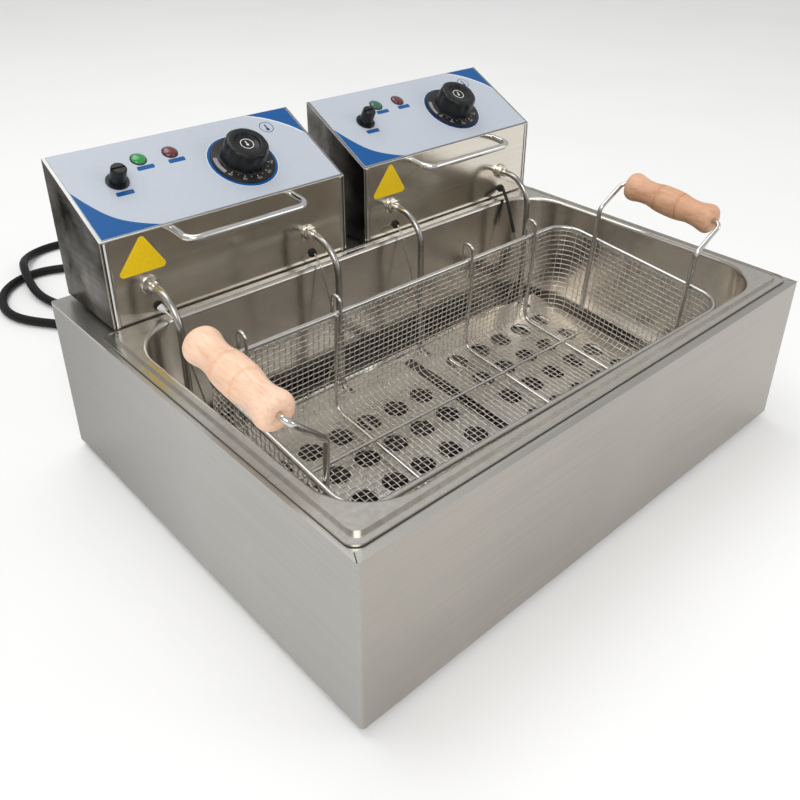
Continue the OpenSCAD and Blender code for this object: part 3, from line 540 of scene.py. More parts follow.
LZ = 0.0055
ROUTE = {
    "left": [(-0.1388, 0.2558, 0.2075), (-0.1388, 0.278, 0.2066), (-0.14, 0.3, 0.1955), (-0.142, 0.318, 0.17), (-0.1455, 0.334, 0.134), (-0.15, 0.35, 0.086), (-0.157, 0.372, 0.041), (-0.17, 0.404, 0.014), (-0.187, 0.442, 0.0064), (-0.21, 0.474, LZ), (-0.23, 0.504, LZ), (-0.236, 0.54, LZ), (-0.225, 0.579, LZ), (-0.2, 0.609, LZ), (-0.164, 0.621, LZ), (-0.13, 0.611, LZ), (-0.098, 0.589, LZ), (-0.078, 0.573, LZ), (-0.061, 0.5645, LZ)],
    "right": [(0.1378, 0.2558, 0.2075), (0.1378, 0.278, 0.2066), (0.1355, 0.3, 0.1955), (0.1295, 0.319, 0.166), (0.119, 0.334, 0.124), (0.101, 0.346, 0.072), (0.07, 0.3505, 0.027), (0.02, 0.356, 0.0085), (-0.048, 0.37, 0.0058), (-0.112, 0.41, LZ), (-0.16, 0.466, LZ), (-0.187, 0.53, 0.0059), (-0.187, 0.576, 0.0095), (-0.179, 0.617, 0.019), (-0.166, 0.655, 0.0115), (-0.141, 0.685, 0.006), (-0.102, 0.693, 0.0056), (-0.058, 0.675, LZ), (0, 0.638, LZ), (0.056, 0.597, LZ), (0.084, 0.5775, LZ), (0.102, 0.5685, LZ)],
}
COIL = {"left": (-0.044, 0.505), "right": (0.120, 0.508)}
R_IN, R_OUT, Z0, Z1 = 0.0459, 0.0566, LZ, LZ + 0.0104
STEPS = {
    "left": [(0, R_OUT, Z0), (300, R_OUT, Z0), (360, R_IN, Z0), (660, R_IN, Z0), (720, R_IN, Z1), (1020, R_IN, Z1), (1080, R_OUT, Z1), (1170, R_OUT, Z1)],
    "right": [(0, R_OUT, Z0), (300, R_OUT, Z0), (360, R_IN, Z0), (630, R_IN, Z0), (720, R_OUT, Z1), (810, R_OUT, Z1)],
}


def lead_line(side):
    cx, cy = COIL[side]
    pts = catmull(ROUTE[side], 8)
    steps = STEPS[side]
    coil = []
    a = 0.0
    while a <= steps[-1][0] + 1e-6:
        for (a0, r0, z0), (a1, r1, z1) in zip(steps, steps[1:]):
            if a <= a1 + 1e-9:
                w = smooth((a - a0) / (a1 - a0))
                r, z = r0 + (r1 - r0) * w, z0 + (z1 - z0) * w
                break
        th = math.radians(90 - a)
        coil.append((cx + r * math.cos(th), cy + r * math.sin(th), z))
        a += 7.5
    tail = [(cx + 0.0567, cy - 0.011, Z1 - 0.0006), (cx + 0.0566, cy - 0.021, Z1 - 0.0030), (cx + 0.0564, cy - 0.031, Z1 - 0.0058), (cx + 0.0564, cy - 0.040, 0.0080), (cx + 0.0564, cy - 0.047, 0.0080)]
    joint = catmull([ROUTE[side][-2], ROUTE[side][-1], coil[0], coil[1]], 4)[4:8]
    end = catmull([coil[-2], coil[-1]] + tail, 3)[3:]
    whole = np.array([tuple(p) for p in pts[:-1]] + [tuple(p) for p in joint] + coil[:-1] + [tuple(p) for p in end])
    k = len(pts) + len(joint) + 4
    for _ in range(24):
        q = whole.copy()
        q[1:k] = 0.5 * whole[1:k] + 0.25 * (whole[: k - 1] + whole[2 : k + 1])
        q[1:k, 2] = np.maximum(q[1:k, 2], LZ)
        whole = q
    return [tuple(p) for p in whole]


def rounded_outline(pts, radii, n=6):
    """Polygon with each corner rounded."""
    out = []
    m = len(pts)
    for i in range(m):
        p, a, b = Vector(pts[i]), Vector(pts[i - 1]), Vector(pts[(i + 1) % m])
        d1, d2 = (a - p).normalized(), (b - p).normalized()
        half = math.acos(max(-1, min(1, d1.dot(d2)))) / 2
        r = radii[i] if isinstance(radii, (list, tuple)) else radii
        t = r / math.tan(half)
        c = p + (d1 + d2).normalized() * (r / math.sin(half))
        s, e = p + d1 * t - c, p + d2 * t - c
        a0, a1 = math.atan2(s.y, s.x), math.atan2(e.y, e.x)
        while a1 - a0 > math.pi:
            a1 -= 2 * math.pi
        while a1 - a0 < -math.pi:
            a1 += 2 * math.pi
        for k in range(n + 1):
            q = a0 + (a1 - a0) * k / n
            out.append((c.x + r * math.cos(q), c.y + r * math.sin(q)))
    return out


def soft_block(outline, z0, z1, edge, n=4):
    """Extruded outline with rounded top and bottom edges."""
    pts = [Vector(p) for p in outline]
    m = len(pts)
    nor = []
    for i in range(m):
        d = (pts[(i + 1) % m] - pts[i - 1]).normalized()
        nor.append(Vector((d.y, -d.x)))
    rows = []
    for k in range(n + 1):
        q = math.pi / 2 * k / n
        rows.append((edge * (1 - math.sin(q)), z0 + edge * (1 - math.cos(q))))
    for k in range(n + 1):
        q = math.pi / 2 * k / n
        rows.append((edge * (1 - math.cos(q)), z1 - edge * (1 - math.sin(q))))
    vs = []
    for inset, z in rows:
        vs += [(p.x - inset * v.x, p.y - inset * v.y, z) for p, v in zip(pts, nor)]
    fs = ring_faces(len(rows), m, False)
    return vs, fs


def make_plug(side):
    cx, cy = COIL[side]
    at = Matrix.Translation((cx + 0.0564, cy - 0.080, 0))
    shell = rounded_outline([(-0.025, -0.024), (0.025, -0.024), (0.025, 0.010), (0.011, 0.0235), (-0.011, 0.0235), (-0.025, 0.010)], [0.005, 0.005, 0.007, 0.004, 0.004, 0.007])
    parts = [moved(soft_block(shell, 0.0002, 0.0176, 0.0022), at)]
    # a low raised fuse cover on the top
    rib = rounded_outline([(-0.0175, -0.0185), (0.0175, -0.0185), (0.0175, -0.0100), (-0.0175, -0.0100)], 0.0012)
    parts.append(moved(soft_block(rib, 0.0170, 0.0180, 0.0004), at))
    # ribbed bend sleeve
    prof = [(0, 0.0), (0.0078, 0.0)]
    for i in range(6):
        y = 0.0015 + i * 0.0026
        r = 0.0079 - i * 0.00022
        prof += [(r, y), (r, y + 0.0014), (r - 0.0010, y + 0.0017), (r - 0.0010, y + 0.0025)]
    prof += [(0.0066, 0.0172), (0.0057, 0.0178), (0, 0.0178)]
    lay = Matrix.Translation((0, 0.0226, 0.0084)) @ Matrix.Rotation(-math.pi / 2, 4, "X")
    parts.append(moved(lathe(prof, 40), at @ lay))
    body = add(side + "_plug_body", *join(parts), "case", M["rubber"])
    fix_normals(body)
    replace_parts(body, side + "_cord_plug")
    pins = [moved(soft_block(rounded_outline([(-0.004, -0.014), (0.004, -0.014), (0.004, -0.010), (-0.004, -0.010)], 0.0005, 2), 0.0165, 0.0395, 0.0006, 2), at)]
    for s in (-1, 1):
        pins.append(moved(soft_block(rounded_outline([(s * 0.011 - 0.0032, 0.006), (s * 0.011 + 0.0032, 0.006), (s * 0.011 + 0.0032, 0.010), (s * 0.011 - 0.0032, 0.010)], 0.0005, 2), 0.0165, 0.0345, 0.0006, 2), at))
    p = add(side + "_plug_pins", *join(pins), "case", M["brass"])
    fix_normals(p)
    return body, p


def make_tie(side):
    """Strap that holds the coil together."""
    cx, cy = COIL[side]
    ro, ri = R_OUT + LEAD_R, R_IN - LEAD_R
    top = Z1 + LEAD_R
    c = ((ro + ri) / 2, top / 2)
    hx, hz = (ro - ri) / 2 + 0.0004, top / 2 + 0.0002
    outer = rounded_outline([(c[0] - hx - 0.0009, 0.0002), (c[0] + hx + 0.0009, 0.0002), (c[0] + hx + 0.0009, c[1] + hz + 0.0009), (c[0] - hx - 0.0009, c[1] + hz + 0.0009)], 0.005)
    inner = rounded_outline([(c[0] - hx, 0.0009), (c[0] + hx, 0.0009), (c[0] + hx, c[1] + hz), (c[0] - hx, c[1] + hz)], 0.0042)
    part = band(inner, outer, -0.004, 0.004)
    m = Matrix.Translation((cx, cy, 0)) @ Matrix.Rotation(math.radians(215), 4, "Z") @ Matrix.Rotation(math.pi / 2, 4, "X")
    o = add(side + "_lead_tie", *moved(part, m), "case", M["rubber"])
    fix_normals(o)
    return o


cords = {}
for side in ("left", "right"):
    line = lead_line(side)
    v, f = tube(line, LEAD_R, 16)
    o = add(side + "_supply_lead", v, f, None, M["lead"])
    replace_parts(o, side + "_cord_tube", side + "_cord_coil")
    length = sum((Vector(b) - Vector(a)).length for a, b in zip(line, line[1:]))
    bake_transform(o)
    body, pins = make_plug(side)
    tie = make_tie(side)
    cords[side] = (o, length, line)
    print("lead", side, round(length, 4))

# ---------------------------------------------------------------- case
o = dress("outer_case", M["case_front"], M["case_side"], M["case_ledge"], M["case_ledge_y"])


def case_rule(c, n):
    top = n[:, 2] > 0.7
    sidey = np.abs(n[:, 0]) > 0.7
    out = np.where(sidey, 1, 0)
    ledge = np.where((np.abs(c[:, 0]) > 0.2640), 3, 2)
    return np.where(top, ledge, out)


paint_faces(o, case_rule)
bevel(o, 0.0006, 3)
o = dress("rear_deck", M["case_ledge"])
bevel(o, 0.0004, 2)
dress("base_plate", M["base"])
dress("rubber_feet", M["rubber"])
dress("case_screws", M["wire"])
o = dress("oil_tank", M["tank"], M["flange"], M["tank_floor_painted_shade"])
# the bottom of the tank gets the darker copy: painted shade
paint_faces(o, lambda c, n: np.where(c[:, 2] > DK - 0.004, 1, np.where(c[:, 2] < 0.0155, 2, 0)))

# painted shadow: near-black strips where the folded ledge sheets meet at the corners, standing for the shade in the
# seam gaps
seams = []
for sx in (-1, 1):
    a, b = Vector((sx * 0.2752, -0.2110, 0)), Vector((sx * 0.2796, -0.2192, 0))
    d = (b - a).normalized() * 0.00035
    q = Vector((-d.y, d.x, 0))
    seams.append(prism([(p.x, p.y) for p in (a + q, a - q, b - q, b + q)], DK - 0.0002, DK + 0.00004))
o = fix_normals(add("ledge_seams", *join(seams), "case", M["painted_gap_shadow"], False))

# ---------------------------------------------------------------- heads
SEG = {"0": "abcdef", "1": "bc", "2": "abged", "4": "fgbc", "6": "afgedc", "8": "abcdefg"}


def glyph(ch, x, y, h, w, t):
    """A plain upright figure made of short strokes, as boxes (centre, half size)."""
    pos = {"a": (0, h / 2, w, t), "g": (0, 0, w, t), "d": (0, -h / 2, w, t), "f": (-w / 2, h / 4, t, h / 2), "b": (w / 2, h / 4, t, h / 2), "e": (-w / 2, -h / 4, t, h / 2), "c": (w / 2, -h / 4, t, h / 2)}
    return [(x + pos[s][0], y + pos[s][1], (pos[s][2] + (t if s in "agd" else 0)) / 2, (pos[s][3] + (0 if s in "agd" else t)) / 2) for s in SEG[ch]]


def knob_part():
    prof = [(0.0, 0.0011), (0.0295, 0.0011), (0.0305, 0.0013), (0.0305, 0.0021), (0.0300, 0.0026), (0.0293, 0.0028), (0.0222, 0.0028), (0.0218, 0.0030), (0.0217, 0.0060), (0.0214, 0.0120), (0.0211, 0.0170), (0.0208, 0.0200), (0.0204, 0.0214), (0.0198, 0.0225), (0.0189, 0.0234), (0.0178, 0.0239), (0.0166, 0.0240), (0.0134, 0.0240), (0.0127, 0.0239), (0.0123, 0.0235), (0.0120, 0.0226), (0.0117, 0.0219), (0.0110, 0.0215), (0.0, 0.0214)]
    k = 192
    vs, rows = [], []
    for r, z in prof:
        if r == 0:
            rows.append([len(vs)])
            vs.append((0, 0, z))
            continue
        rows.append(list(range(len(vs), len(vs) + k)))
        w = 0.0 if z < 0.0029 else smooth((0.0243 - z) / 0.0030) if r > 0.0140 else 0.0
        for j in range(k):
            th = 2 * math.pi * j / k
            cut = (0.5 + 0.5 * math.cos(8 * th)) ** 2.2
            rr = r - w * 0.0010 * cut
            vs.append((rr * math.cos(th), rr * math.sin(th), z))
    fs = []
    for a, b in zip(rows, rows[1:]):
        for j in range(k):
            j2 = (j + 1) % k
            if len(a) == 1:
                fs.append((a[0], b[j2], b[j]))
            elif len(b) == 1:
                fs.append((a[j], a[j2], b[0]))
            else:
                fs.append((a[j], a[j2], b[j2], b[j]))
    return vs, fs


def make_dial(side, turn):
    at = panel(side) @ Matrix.Translation((DIAL[0], DIAL[1], 0)) @ Matrix.Rotation(math.radians(turn), 4, "Z")
    body = side + "_dial_body"
    o = add(side + "_dial_knob", *moved(knob_part(), at), body, [M["knob"], M["skirt"]])
    inv = at.inverted()
    idx = []
    for p in o.data.polygons:
        q = inv @ p.center
        idx.append(1 if q.z < 0.00285 else 0)
    o.data.polygons.foreach_set("material_index", idx)
    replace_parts(o, side + "_dial")
    # marks: ticks near the foot of the grip, plain figures outside them, a ring on the face
    parts, words = [], []
    z0, z1 = 0.0027, 0.00284
    for i in range(15):
        a = math.radians(212 + i * 15)
        big = i % 2 == 0
        r0, r1, w = 0.0227, 0.0247 if big else 0.0240, 0.00028 if big else 0.0002
        c, s = math.cos(a), math.sin(a)
        parts.append(prism([(r0 * c + w * s, r0 * s - w * c), (r1 * c + w * s, r1 * s - w * c), (r1 * c - w * s, r1 * s + w * c), (r0 * c - w * s, r0 * s + w * c)], z0, z1))
    for i, word in enumerate(("60", "80", "100", "120", "140", "160", "180", "200")):
        a = math.radians(212 + i * 30)
        m = Matrix.Rotation(a + math.pi / 2, 4, "Z") @ Matrix.Translation((0, -0.0268, 0))
        wd = 0.00125
        for j, ch in enumerate(word):
            x = (j - (len(word) - 1) / 2) * 0.0020
            for cx, cy, hx, hy in glyph(ch, x, 0, 0.0020, wd, 0.0003):
                words.append(moved(prism([(cx - hx, cy - hy), (cx + hx, cy - hy), (cx + hx, cy + hy), (cx - hx, cy + hy)], z0, z1), m))
    q = fix_normals(add(side + "_dial_marks", *moved(join(parts), at), body, M["pale_ink"], False))
    q = fix_normals(add(side + "_dial_numbers", *moved(join(words), at), body, M["dim_ink"], False))
    block = band(circle(0.0249, 14, a0=160, a1=202, full=False), circle(0.0288, 14, a0=160, a1=202, full=False), z0, z1, closed=False)
    q = fix_normals(add(side + "_dial_block", *moved(block, at), body, M["grey_ink"], False))
    face = [band(circle(0.0058, 64), circle(0.0065, 64), 0.0212, 0.02165)]
    face.append(prism(rounded_outline([(-0.0005, -0.0002), (0.0005, -0.0002), (0.0005, 0.0038), (-0.0005, 0.0038)], 0.00045, 4), 0.0212, 0.02163))
    face.append(prism(circle(0.0013, 24, (0, -0.0012)), 0.0212, 0.02163))
    q = fix_normals(add(side + "_dial_face_mark", *moved(join(face), at), body, M["pale_ink"], False))


def make_print(side):
    """Printed areas of the control panel; name, tags and words are left off."""
    at = panel(side)
    z0, z1 = 0.0004, 0.00053
    ll = [(4.0, 57.6), (7.0, 50.4), (10.2, 43.6), (13.4, 37.4), (16.8, 31.4), (20.6, 25.9), (24.6, 21.2), (29.0, 17.2), (33.6, 13.9), (38.4, 10.9), (43.4, 8.2), (48.4, 5.7), (52.8, 3.8), (56.8, 2.3)]
    ur = [(201.0, 102.6), (205.0, 101.0), (209.0, 99.2), (213.6, 96.9), (218.4, 94.1), (223.2, 90.8), (228.0, 87.0), (232.6, 82.9), (237.2, 78.2), (241.4, 73.3), (244.8, 68.4), (247.8, 63.4)]
    mm = lambda q: [(x / 1000, y / 1000) for x, y in q]
    blue = [prism(mm([(3.5, 2.3)] + ll[::-1] + [(3.5, 58.8)]), z0, z1), prism(mm([(247.8, 102.6)] + ur), z0, z1)]
    for cx, cy in ((76.7, 67.2), (107.2, 67.4), (45.6, 44.4)):
        blue.append(prism(rounded_outline(mm([(cx - 8.4, cy - 2.5), (cx + 7.8, cy - 2.5), (cx + 8.4, cy + 2.5), (cx - 7.8, cy + 2.5)]), 0.0011, 4), z0, z1))
    if side == "left":
        blue.append(band(circle(0.0300, 96, DIAL), circle(0.0333, 96, DIAL), z0, z1))
    o = fix_normals(add(side + "_panel_print_blue", *moved(join(blue), at), side + "_head", M["blue"], False))
    dark = [band(circle(0.0066, 48, (0.213, 0.082)), circle(0.0073, 48, (0.213, 0.082)), z0, z1 + 0.00002)]
    dark.append(prism(rounded_outline([(0.2122, 0.0800), (0.2138, 0.0800), (0.2138, 0.0862), (0.2122, 0.0862)], 0.0007, 4), z0, z1 + 0.00002))
    dark.append(prism(circle(0.0019, 28, (0.2130, 0.0790)), z0, z1 + 0.00003))
    if side == "right":
        dark.append(band(circle(0.0300, 96, DIAL), circle(0.0333, 96, DIAL), z0, z1))
    o = fix_normals(add(side + "_panel_print_dark", *moved(join(dark), at), side + "_head", M["blue_dark"], False))
    # thin white lines beside the blue corner and round the dial
    white = [band(circle(0.0333, 96, DIAL), circle(0.03375, 96, DIAL), z0, z1 + 0.00001)]
    u = [Vector(p) for p in mm(ur)]
    inner, outer = [], []
    for i, p in enumerate(u):
        d = (u[min(i + 1, len(u) - 1)] - u[max(i - 1, 0)]).normalized()
        nrm = Vector((-d.y, d.x))
        nrm = nrm if nrm.x + nrm.y < 0 else -nrm
        outer.append(tuple(p))
        inner.append(tuple(p + nrm * 0.0011))
    inner[0] = (inner[0][0], 0.1027)
    inner[-1] = (0.2479, inner[-1][1])
    white.append(band(inner, outer, z0, z1 + 0.00001, closed=False))
    o = fix_normals(add(side + "_panel_print_white", *moved(join(white), at), side + "_head", M["white_ink"], False))


def make_folds(side):
    """Where the front sheet is tucked round at the upright edges: a near-black strip as painted shadow in the gap,
    then a rolled bright fold.
    """
    x0 = HEAD_X[side]
    gaps, folds = [], []
    for s, e in ((1, 0.0), (-1, HEAD_W)):
        g0, g1, b1 = 0.0013, 0.0027, 0.0068
        zb, zt = DK + 0.0049, DK + 0.0838
        xs = [x0 + e + s * g0, x0 + e + s * g1]
        gaps.append(([(x, y, z) for x in xs for y in (HY0 + 0.0003, HY0 - 0.00006) for z in (zb, zt)], [(0, 1, 3, 2), (4, 6, 7, 5), (0, 4, 5, 1), (2, 3, 7, 6), (0, 2, 6, 4), (1, 5, 7, 3)]))
        n = 8
        vs = []
        for z in (zb, zt):
            for k in range(n + 1):
                q = k / n
                vs.append((x0 + e + s * (g1 + (b1 - g1) * q), HY0 - 0.00005 - 0.00085 * math.sin(math.pi * q) ** 0.8, z))
        fs = [(k, k + 1, n + 2 + k, n + 1 + k) for k in range(n)] + [(0, n + 1, 2 * n + 1, n)]
        fs += [tuple(range(n, -1, -1)), tuple(range(n + 1, 2 * n + 2))]
        folds.append((vs, fs))
    o = fix_normals(add(side + "_head_gaps", *join(gaps), side + "_head", M["painted_gap_shadow"], False))
    o = fix_normals(add(side + "_head_folds", *join(folds), side + "_head", M["edge"], True))
    sharpen(o, 40)


def sharpen(o, angle):
    o.data.polygons.foreach_set("use_smooth", [True] * len(o.data.polygons))
    o.data.set_sharp_from_angle(angle=math.radians(angle))


def make_lens(side, at_uv, mat, name):
    prof = [(0.0, -0.014), (0.0048, -0.014), (0.0050, -0.0138), (0.0050, 0.0005), (0.0064, 0.0005), (0.0064, 0.0015), (0.0062, 0.0018), (0.0058, 0.0019), (0.0057, 0.0020)]
    for i in range(1, 9):
        a = math.pi / 2 * i / 8
        prof.append((0.0057 * math.cos(a), 0.0020 + 0.0013 * math.sin(a)))
    prof[-1] = (0.0, 0.0033)
    o = add(name, *moved(lathe(prof, 48), panel(side) @ Matrix.Translation((at_uv[0], at_uv[1], 0))), side + "_head", mat)
    sharpen(fix_normals(o), 50)
    rim = lathe([(0.0063, 0.0004), (0.0074, 0.0004), (0.0074, 0.0009), (0.0071, 0.0012), (0.0066, 0.0012), (0.0063, 0.0009)], 48, closed=True)
    q = add(name + "_rim", *moved(rim, panel(side) @ Matrix.Translation((at_uv[0], at_uv[1], 0))), side + "_head", M["rubber"])
    sharpen(fix_normals(q), 40)
    return o


def make_glands(side):
    """Washer, hexagon nut and threaded sleeve at each end of the element, and the nut inside."""
    parts = []
    bore = 0.00329
    for u in (0.038, 0.206):
        at = Matrix.Translation((HEAD_X[side] + u, HY0, DK + 0.036)) @ Matrix.Rotation(math.pi / 2, 4, "X")
        parts.append(moved(lathe([(0.0052, 0.0), (0.0084, 0.0), (0.0088, 0.0004), (0.0088, 0.0011), (0.0084, 0.0015), (0.0052, 0.0015)], 56, closed=True), at))
        hexa = rounded_outline([(0.0074 * math.cos(math.radians(a)), 0.0074 * math.sin(math.radians(a))) for a in range(0, 360, 60)], 0.0005, 3)
        for z0, z1 in ((0.0018, 0.0056), (-0.0054, -0.0017)):
            ring = band(circle(0.0046, len(hexa)), hexa, z0, z1)
            parts.append(moved(ring, at))
        prof = [(bore, -0.0074), (0.0047, -0.0074), (0.0049, -0.0071), (0.0049, 0.0058)]
        z = 0.0060
        while z < 0.0086:
            prof += [(0.0050, z), (0.0050, z + 0.0004), (0.0045, z + 0.0007), (0.0045, z + 0.0009)]
            z += 0.0011
        prof += [(0.0048, 0.0090), (0.0045, 0.0094), (bore, 0.0094)]
        parts.append(moved(lathe(prof, 48, closed=True), at))
        parts.append(moved(lathe([(bore, 0.0094), (0.0042, 0.0094), (0.0042, 0.0101), (0.0039, 0.0104), (bore, 0.0104)], 40, closed=True), at))
    o = fix_normals(add(side + "_gland_nuts", *join(parts), side + "_head", M["gland"]))
    sharpen(o, 32)
    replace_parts(o, side + "_element_glands")
    return o


for side in ("left", "right"):
    o = dress(side + "_head_shell", M["head_front"], M["head_side"], M["rim"])
    # sideways faces get the dark painted-reflection copy of the head steel
    paint_faces(o, lambda c, n: np.where(np.abs(n[:, 0]) > 0.7, 1, np.where(n[:, 2] > 0.5, 2, 0)))
    bevel(o, 0.0007, 3)
    bevel(dress(side + "_rear_cover", M["case_front"]), 0.0003, 2)
    dress(side + "_floor_plate", M["base"])
    dress(side + "_panel_overlay", M["overlay"])
    dress(side + "_hanging_bar", M["bar"])
    dress(side + "_heating_element", M["element"])
    make_glands(side)
    bevel(dress(side + "_element_guard", M["guard"]), 0.0002, 2)
    dress(side + "_thermostat", M["sensor"])
    dress(side + "_thermostat_shaft", M["wire"])
    o = dress(side + "_limiter", M["sensor"], M["rubber"])
    if side == "right":
        # the dark rubber sleeve over the first stretch of the tube
        cx = HEAD_X[side] + 0.2084
        paint_faces(o, lambda c, n: np.where((c[:, 1] < HY0 - 0.0026) & (c[:, 1] > 0.0955) & (c[:, 2] > DK - 0.0345) & (c[:, 2] < DK + 0.0165) & (np.abs(c[:, 0] - cx) < 0.011), 1, 0))
    bevel(dress(side + "_reset_cap", M["knob"]), 0.0004, 2)
    dress(side + "_reset_button", M["red_button"])
    dress(side + "_sticker", M["yellow"])
    dress(side + "_capillary_bushes", M["grommet"])
    dress(side + "_terminal_block", M["ceramic"])
    dress(side + "_cord_gland", M["rubber"])
    make_dial(side, {"left": 0, "right": -14}[side])
    make_print(side)
    make_folds(side)
    o = make_lens(side, (0.075, 0.078), M["lens_on" if side == "left" else "lens_off"], side + "_green_lens")
    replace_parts(o, side + "_green_lamp")
    o = make_lens(side, (0.1058, 0.078), M["lens_red"], side + "_red_lens")
    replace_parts(o, side + "_red_lamp")

# pale sleeve that the first tube leaves the left head through
tip = Vector((0.005, -0.0115, -0.0092)).normalized()
at = Matrix.Translation((HEAD_X["left"] + 0.042, HY0 - 0.0021, DK + 0.014)) @ Vector((0, 0, 1)).rotation_difference(tip).to_matrix().to_4x4()
o = add("left_tube_sleeve", *moved(lathe([(0.00096, -0.0004), (0.0030, -0.0004), (0.0033, 0.0002), (0.0030, 0.0022), (0.0022, 0.0052), (0.0014, 0.0074), (0.00096, 0.0078)], 40, closed=True), at), "left_head", M["bush"])
sharpen(fix_normals(o), 40)

# ---------------------------------------------------------------- basket
dress("basket_frame", M["wire"])
dress("basket_hooks", M["wire"])
dress("left_bail", M["bar"])
dress("right_bail", M["bar"])


def make_mesh():
    """Woven square mesh formed into a tray: wires over and under each other, 6 mm apart."""
    HX, HY, H, RB, RC = 0.230, 0.1045, 0.111, 0.012, 0.028
    rw, amp, top, step = 0.00046, 0.00042, -0.0014, 0.0060
    fx, fy, rf = HX - RB, HY - RB, RC - RB
    nx, ny = round(fx / step), round(fy / step)
    px, py = fx / nx, fy / ny
    arc = RB * math.pi / 2
    wall = arc + (top - (-H + RB))
    parts = []

    def side_run(base, nrm, n0):
        """From the edge of the floor round the foot and up the wall: (point, inward normal, phase)."""
        out = []
        m = int(wall / (step / 2))
        for k in range(1, m + 1):
            s = k * step / 2
            if s < arc:
                q = s / RB
                p = (base[0] + nrm[0] * RB * math.sin(q), base[1] + nrm[1] * RB * math.sin(q), -H + RB * (1 - math.cos(q)))
                n = (-nrm[0] * math.sin(q), -nrm[1] * math.sin(q), math.cos(q))
            else:
                p = (base[0] + nrm[0] * RB, base[1] + nrm[1] * RB, -H + RB + (s - arc))
                n = (-nrm[0], -nrm[1], 0.0)
            out.append((p, n, n0 + s / step))
        return out

    def straight(i, axis):
        """One wire across the floor and up both walls; axis 0 runs along y at x = i*px."""
        c = i * (px if axis == 0 else py)
        f_this, f_run = (fx, fy) if axis == 0 else (fy, fx)
        pr, nr = (py, ny) if axis == 0 else (px, nx)
        over = abs(c) - (f_this - rf)
        if over > 0:
            h = math.sqrt(max(0.0, rf * rf - over * over))
            lim = f_run - rf + h
            nrm = (math.copysign(over / rf, c), h / rf)
        else:
            lim, nrm = f_run, (0.0, 1.0)
        k = int(lim / pr * 2 + 1e-6)
        runs = []
        for sgn in (-1, 1):
            half = []
            for j in range(0 if sgn == 1 else 1, k + 1):
                t = j * pr / 2
                half.append(((c, sgn * t, -H), (0, 0, 1.0), j / 2))
            base, nn = (c, sgn * lim), (nrm[0], sgn * nrm[1])
            half += side_run(base, nn, lim / pr if over > 0 else nr)
            runs.append(half)
        seq = runs[0][::-1] + runs[1]
        sg = 1 if axis == 0 else -1
        P, Nn = [], []
        for p, n, ph in seq:
            off = sg * amp * math.cos(math.pi * (ph + i))
            q = [p[a] + n[a] * off for a in range(3)]
            if axis == 1:
                q = [q[1], q[0], q[2]]
                n = (n[1], n[0], n[2])
            P.append(q)
            Nn.append(n)
        parts.append(tube(P, rw, 6, normals=Nn))

    for i in range(-nx, nx + 1):
        if abs(i * px) < fx - 0.0006:
            straight(i, 0)
    for i in range(-ny, ny + 1):
        if abs(i * py) < fy - 0.0006:
            straight(i, 1)

    def loop(inset_h, z, k, nz):
        hx, hy, rc = HX - inset_h, HY - inset_h, RC - inset_h
        P, Nn = [], []

        def put(x, y, n, off):
            P.append((x + n[0] * off * nz[0], y + n[1] * off * nz[0], z + off * nz[1]))
            Nn.append((n[0] * nz[0], n[1] * nz[0], nz[1]))

        def line(axis, sgn):
            lim, pp, nn = (hx - rc, px, nx) if axis == 0 else (hy - rc, py, ny)
            m = int(lim / (pp / 2))
            for j in range(-m, m + 1):
                t = j * pp / 2 * sgn
                off = -amp * math.cos(math.pi * (j / 2 * sgn + (ny if axis == 0 else nx) + k)) * (1 if axis == 0 else -1)
                if axis == 0:
                    put(t, -sgn * hy, (0, sgn), off)
                else:
                    put(sgn * hx, t, (-sgn, 0), off)

        def corner(cx, cy, a0):
            m = 9
            for j in range(m + 1):
                a = math.radians(a0 + 90 * j / m)
                put(cx + rc * math.cos(a), cy + rc * math.sin(a), (-math.cos(a), -math.sin(a)), 0.0)

        line(0, 1)
        corner(hx - rc, -(hy - rc), -90)
        line(1, 1)
        corner(hx - rc, hy - rc, 0)
        line(0, -1)
        corner(-(hx - rc), hy - rc, 90)
        line(1, -1)
        corner(-(hx - rc), -(hy - rc), 180)
        parts.append(tube(P, rw, 6, closed=True, normals=Nn))

    k = 1
    while k * step < wall - 0.001:
        s = k * step
        if s < arc:
            q = s / RB
            loop(RB * (1 - math.sin(q)), -H + RB * (1 - math.cos(q)), k, (math.sin(q), math.cos(q)))
        else:
            loop(0.0, -H + RB + s - arc, k, (1.0, 0.0))
        k += 1
    return join(parts)


o = add("basket_weave", *moved(make_mesh(), BASKET), "basket", M["mesh"])
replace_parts(o, "basket_mesh")


def make_grip(name, gx, gz, mat, body):
    """Turned handle with rounded ends, a waist and a pair of grooves at the middle."""
    h = 0.052
    q = [(h - 0.0004, 0.0055), (h - 0.0001, 0.0085), (h - 0.0006, 0.0112), (h - 0.0018, 0.0131), (h - 0.0036, 0.0144), (h - 0.006, 0.0151), (h - 0.0085, 0.0151), (h - 0.0115, 0.0145), (h - 0.015, 0.0137), (h - 0.019, 0.0130), (h - 0.0235, 0.01265), (h - 0.028, 0.0127), (h - 0.032, 0.0131), (h - 0.0355, 0.0138), (h - 0.0378, 0.01435), (h - 0.0382, 0.0140), (h - 0.0386, 0.0133), (h - 0.0392, 0.0131), (h - 0.0398, 0.0133), (h - 0.0402, 0.0142), (h - 0.0406, 0.01465), (h - 0.045, 0.0149), (0.0, 0.0150)]
    prof = [(0.0026, h - 0.0012)] + [(r, z) for z, r in q] + [(r, -z) for z, r in q[-2::-1]] + [(0.0026, -h + 0.0012)]
    m = BASKET @ Matrix.Translation((gx, -0.004, gz)) @ Matrix.Rotation(math.pi / 2, 4, "X")
    v, f = lathe(prof, 72, closed=True)
    o = add(name, *moved((v, f), m), body, mat)
    fix_normals(o)
    sharpen(o, 60)
    return o


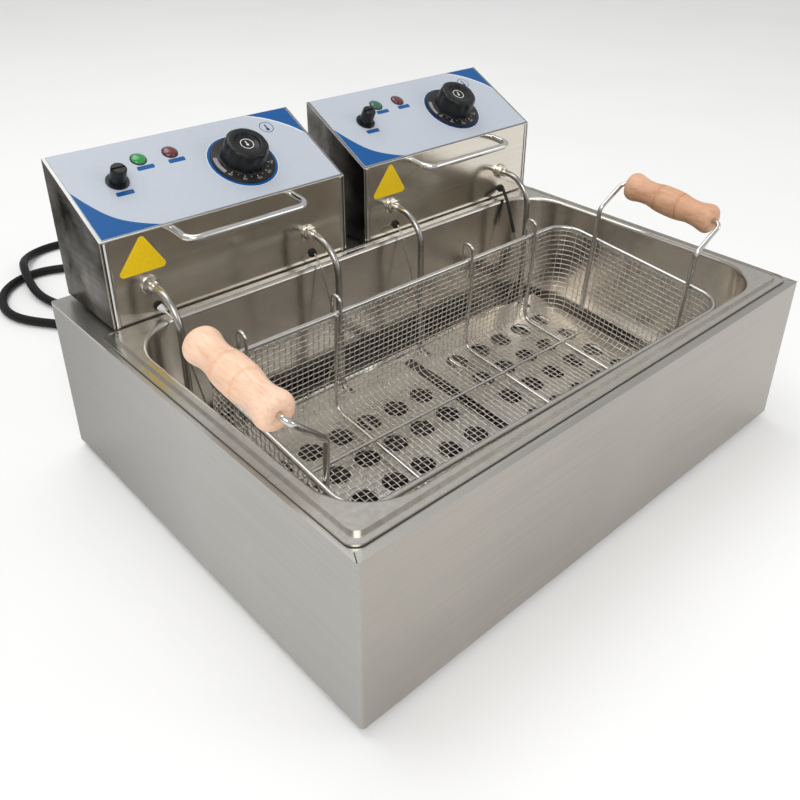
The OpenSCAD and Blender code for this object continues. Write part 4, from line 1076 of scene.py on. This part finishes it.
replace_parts(make_grip("left_turned_grip", -0.256, 0.070, M["wood_left_painted_lit"], "left_grip_body"), "left_grip")
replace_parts(make_grip("right_turned_grip", 0.260, 0.061, M["wood_right_painted_shade"], "right_grip_body"), "right_grip")

# ---------------------------------------------------------------- studio
floor_mat, t, p = new_mat("floor")
n = noise(t, coords(t), 3.0, 2.0, 0.5)
t.links.new(ramp(t, n, [(0.3, (0.90, 0.90, 0.895)), (0.7, (0.92, 0.92, 0.915))]), p.inputs["Base Color"])
p.inputs["Roughness"].default_value = 0.7
p.inputs["Specular IOR Level"].default_value = 0.1
p.inputs["Emission Color"].default_value = (1.0, 1.0, 1.0, 1.0)
p.inputs["Emission Strength"].default_value = 0.035
floor = add("studio_floor", [(-14, -14, -0.0006), (14, -14, -0.0006), (14, 14, -0.0006), (-14, 14, -0.0006)], [(0, 1, 2, 3)], None, floor_mat, False)

world = bpy.data.worlds.new("studio")
bpy.context.scene.world = world
world.use_nodes = True
wt = world.node_tree
wt.nodes.clear()
wo = wt.nodes.new("ShaderNodeOutputWorld")
bg = wt.nodes.new("ShaderNodeBackground")
wc = wt.nodes.new("ShaderNodeTexCoord")
sep = wt.nodes.new("ShaderNodeSeparateXYZ")
wr = wt.nodes.new("ShaderNodeValToRGB")
e = wr.color_ramp.elements
e[0].position, e[0].color = 0.0, (0.62, 0.61, 0.60, 1)
e[1].position, e[1].color = 1.0, (1.0, 1.0, 1.0, 1)
for pos, c in ((0.12, 0.70), (0.35, 0.95)):
    e.new(pos).color = (c, c, c, 1)
wt.links.new(wc.outputs["Generated"], sep.inputs[0])
wt.links.new(sep.outputs[2], wr.inputs[0])
wt.links.new(wr.outputs[0], bg.inputs[0])
bg.inputs[1].default_value = 0.62
wt.links.new(bg.outputs[0], wo.inputs[0])


def area(name, at, aim, size, power, colour=(1, 1, 1)):
    d = bpy.data.lights.new(name, "AREA")
    d.shape = "RECTANGLE"
    d.size, d.size_y = size
    d.energy = power
    d.color = colour
    o = bpy.data.objects.new(name, d)
    bpy.context.scene.collection.objects.link(o)
    o.location = at
    o.rotation_mode = "QUATERNION"
    o.rotation_quaternion = (Vector(aim) - Vector(at)).to_track_quat("-Z", "Y")
    return o


area("key", (-1.6, -1.8, 2.4), (0, 0, 0.1), (2.0, 1.6), 38, (1.0, 0.99, 0.97))
area("fill", (2.2, -2.6, 1.3), (0, 0, 0.1), (1.6, 1.6), 14, (0.97, 0.985, 1.0))
area("top", (-0.3, 0.9, 2.8), (0, 0, 0.1), (2.4, 1.6), 28)
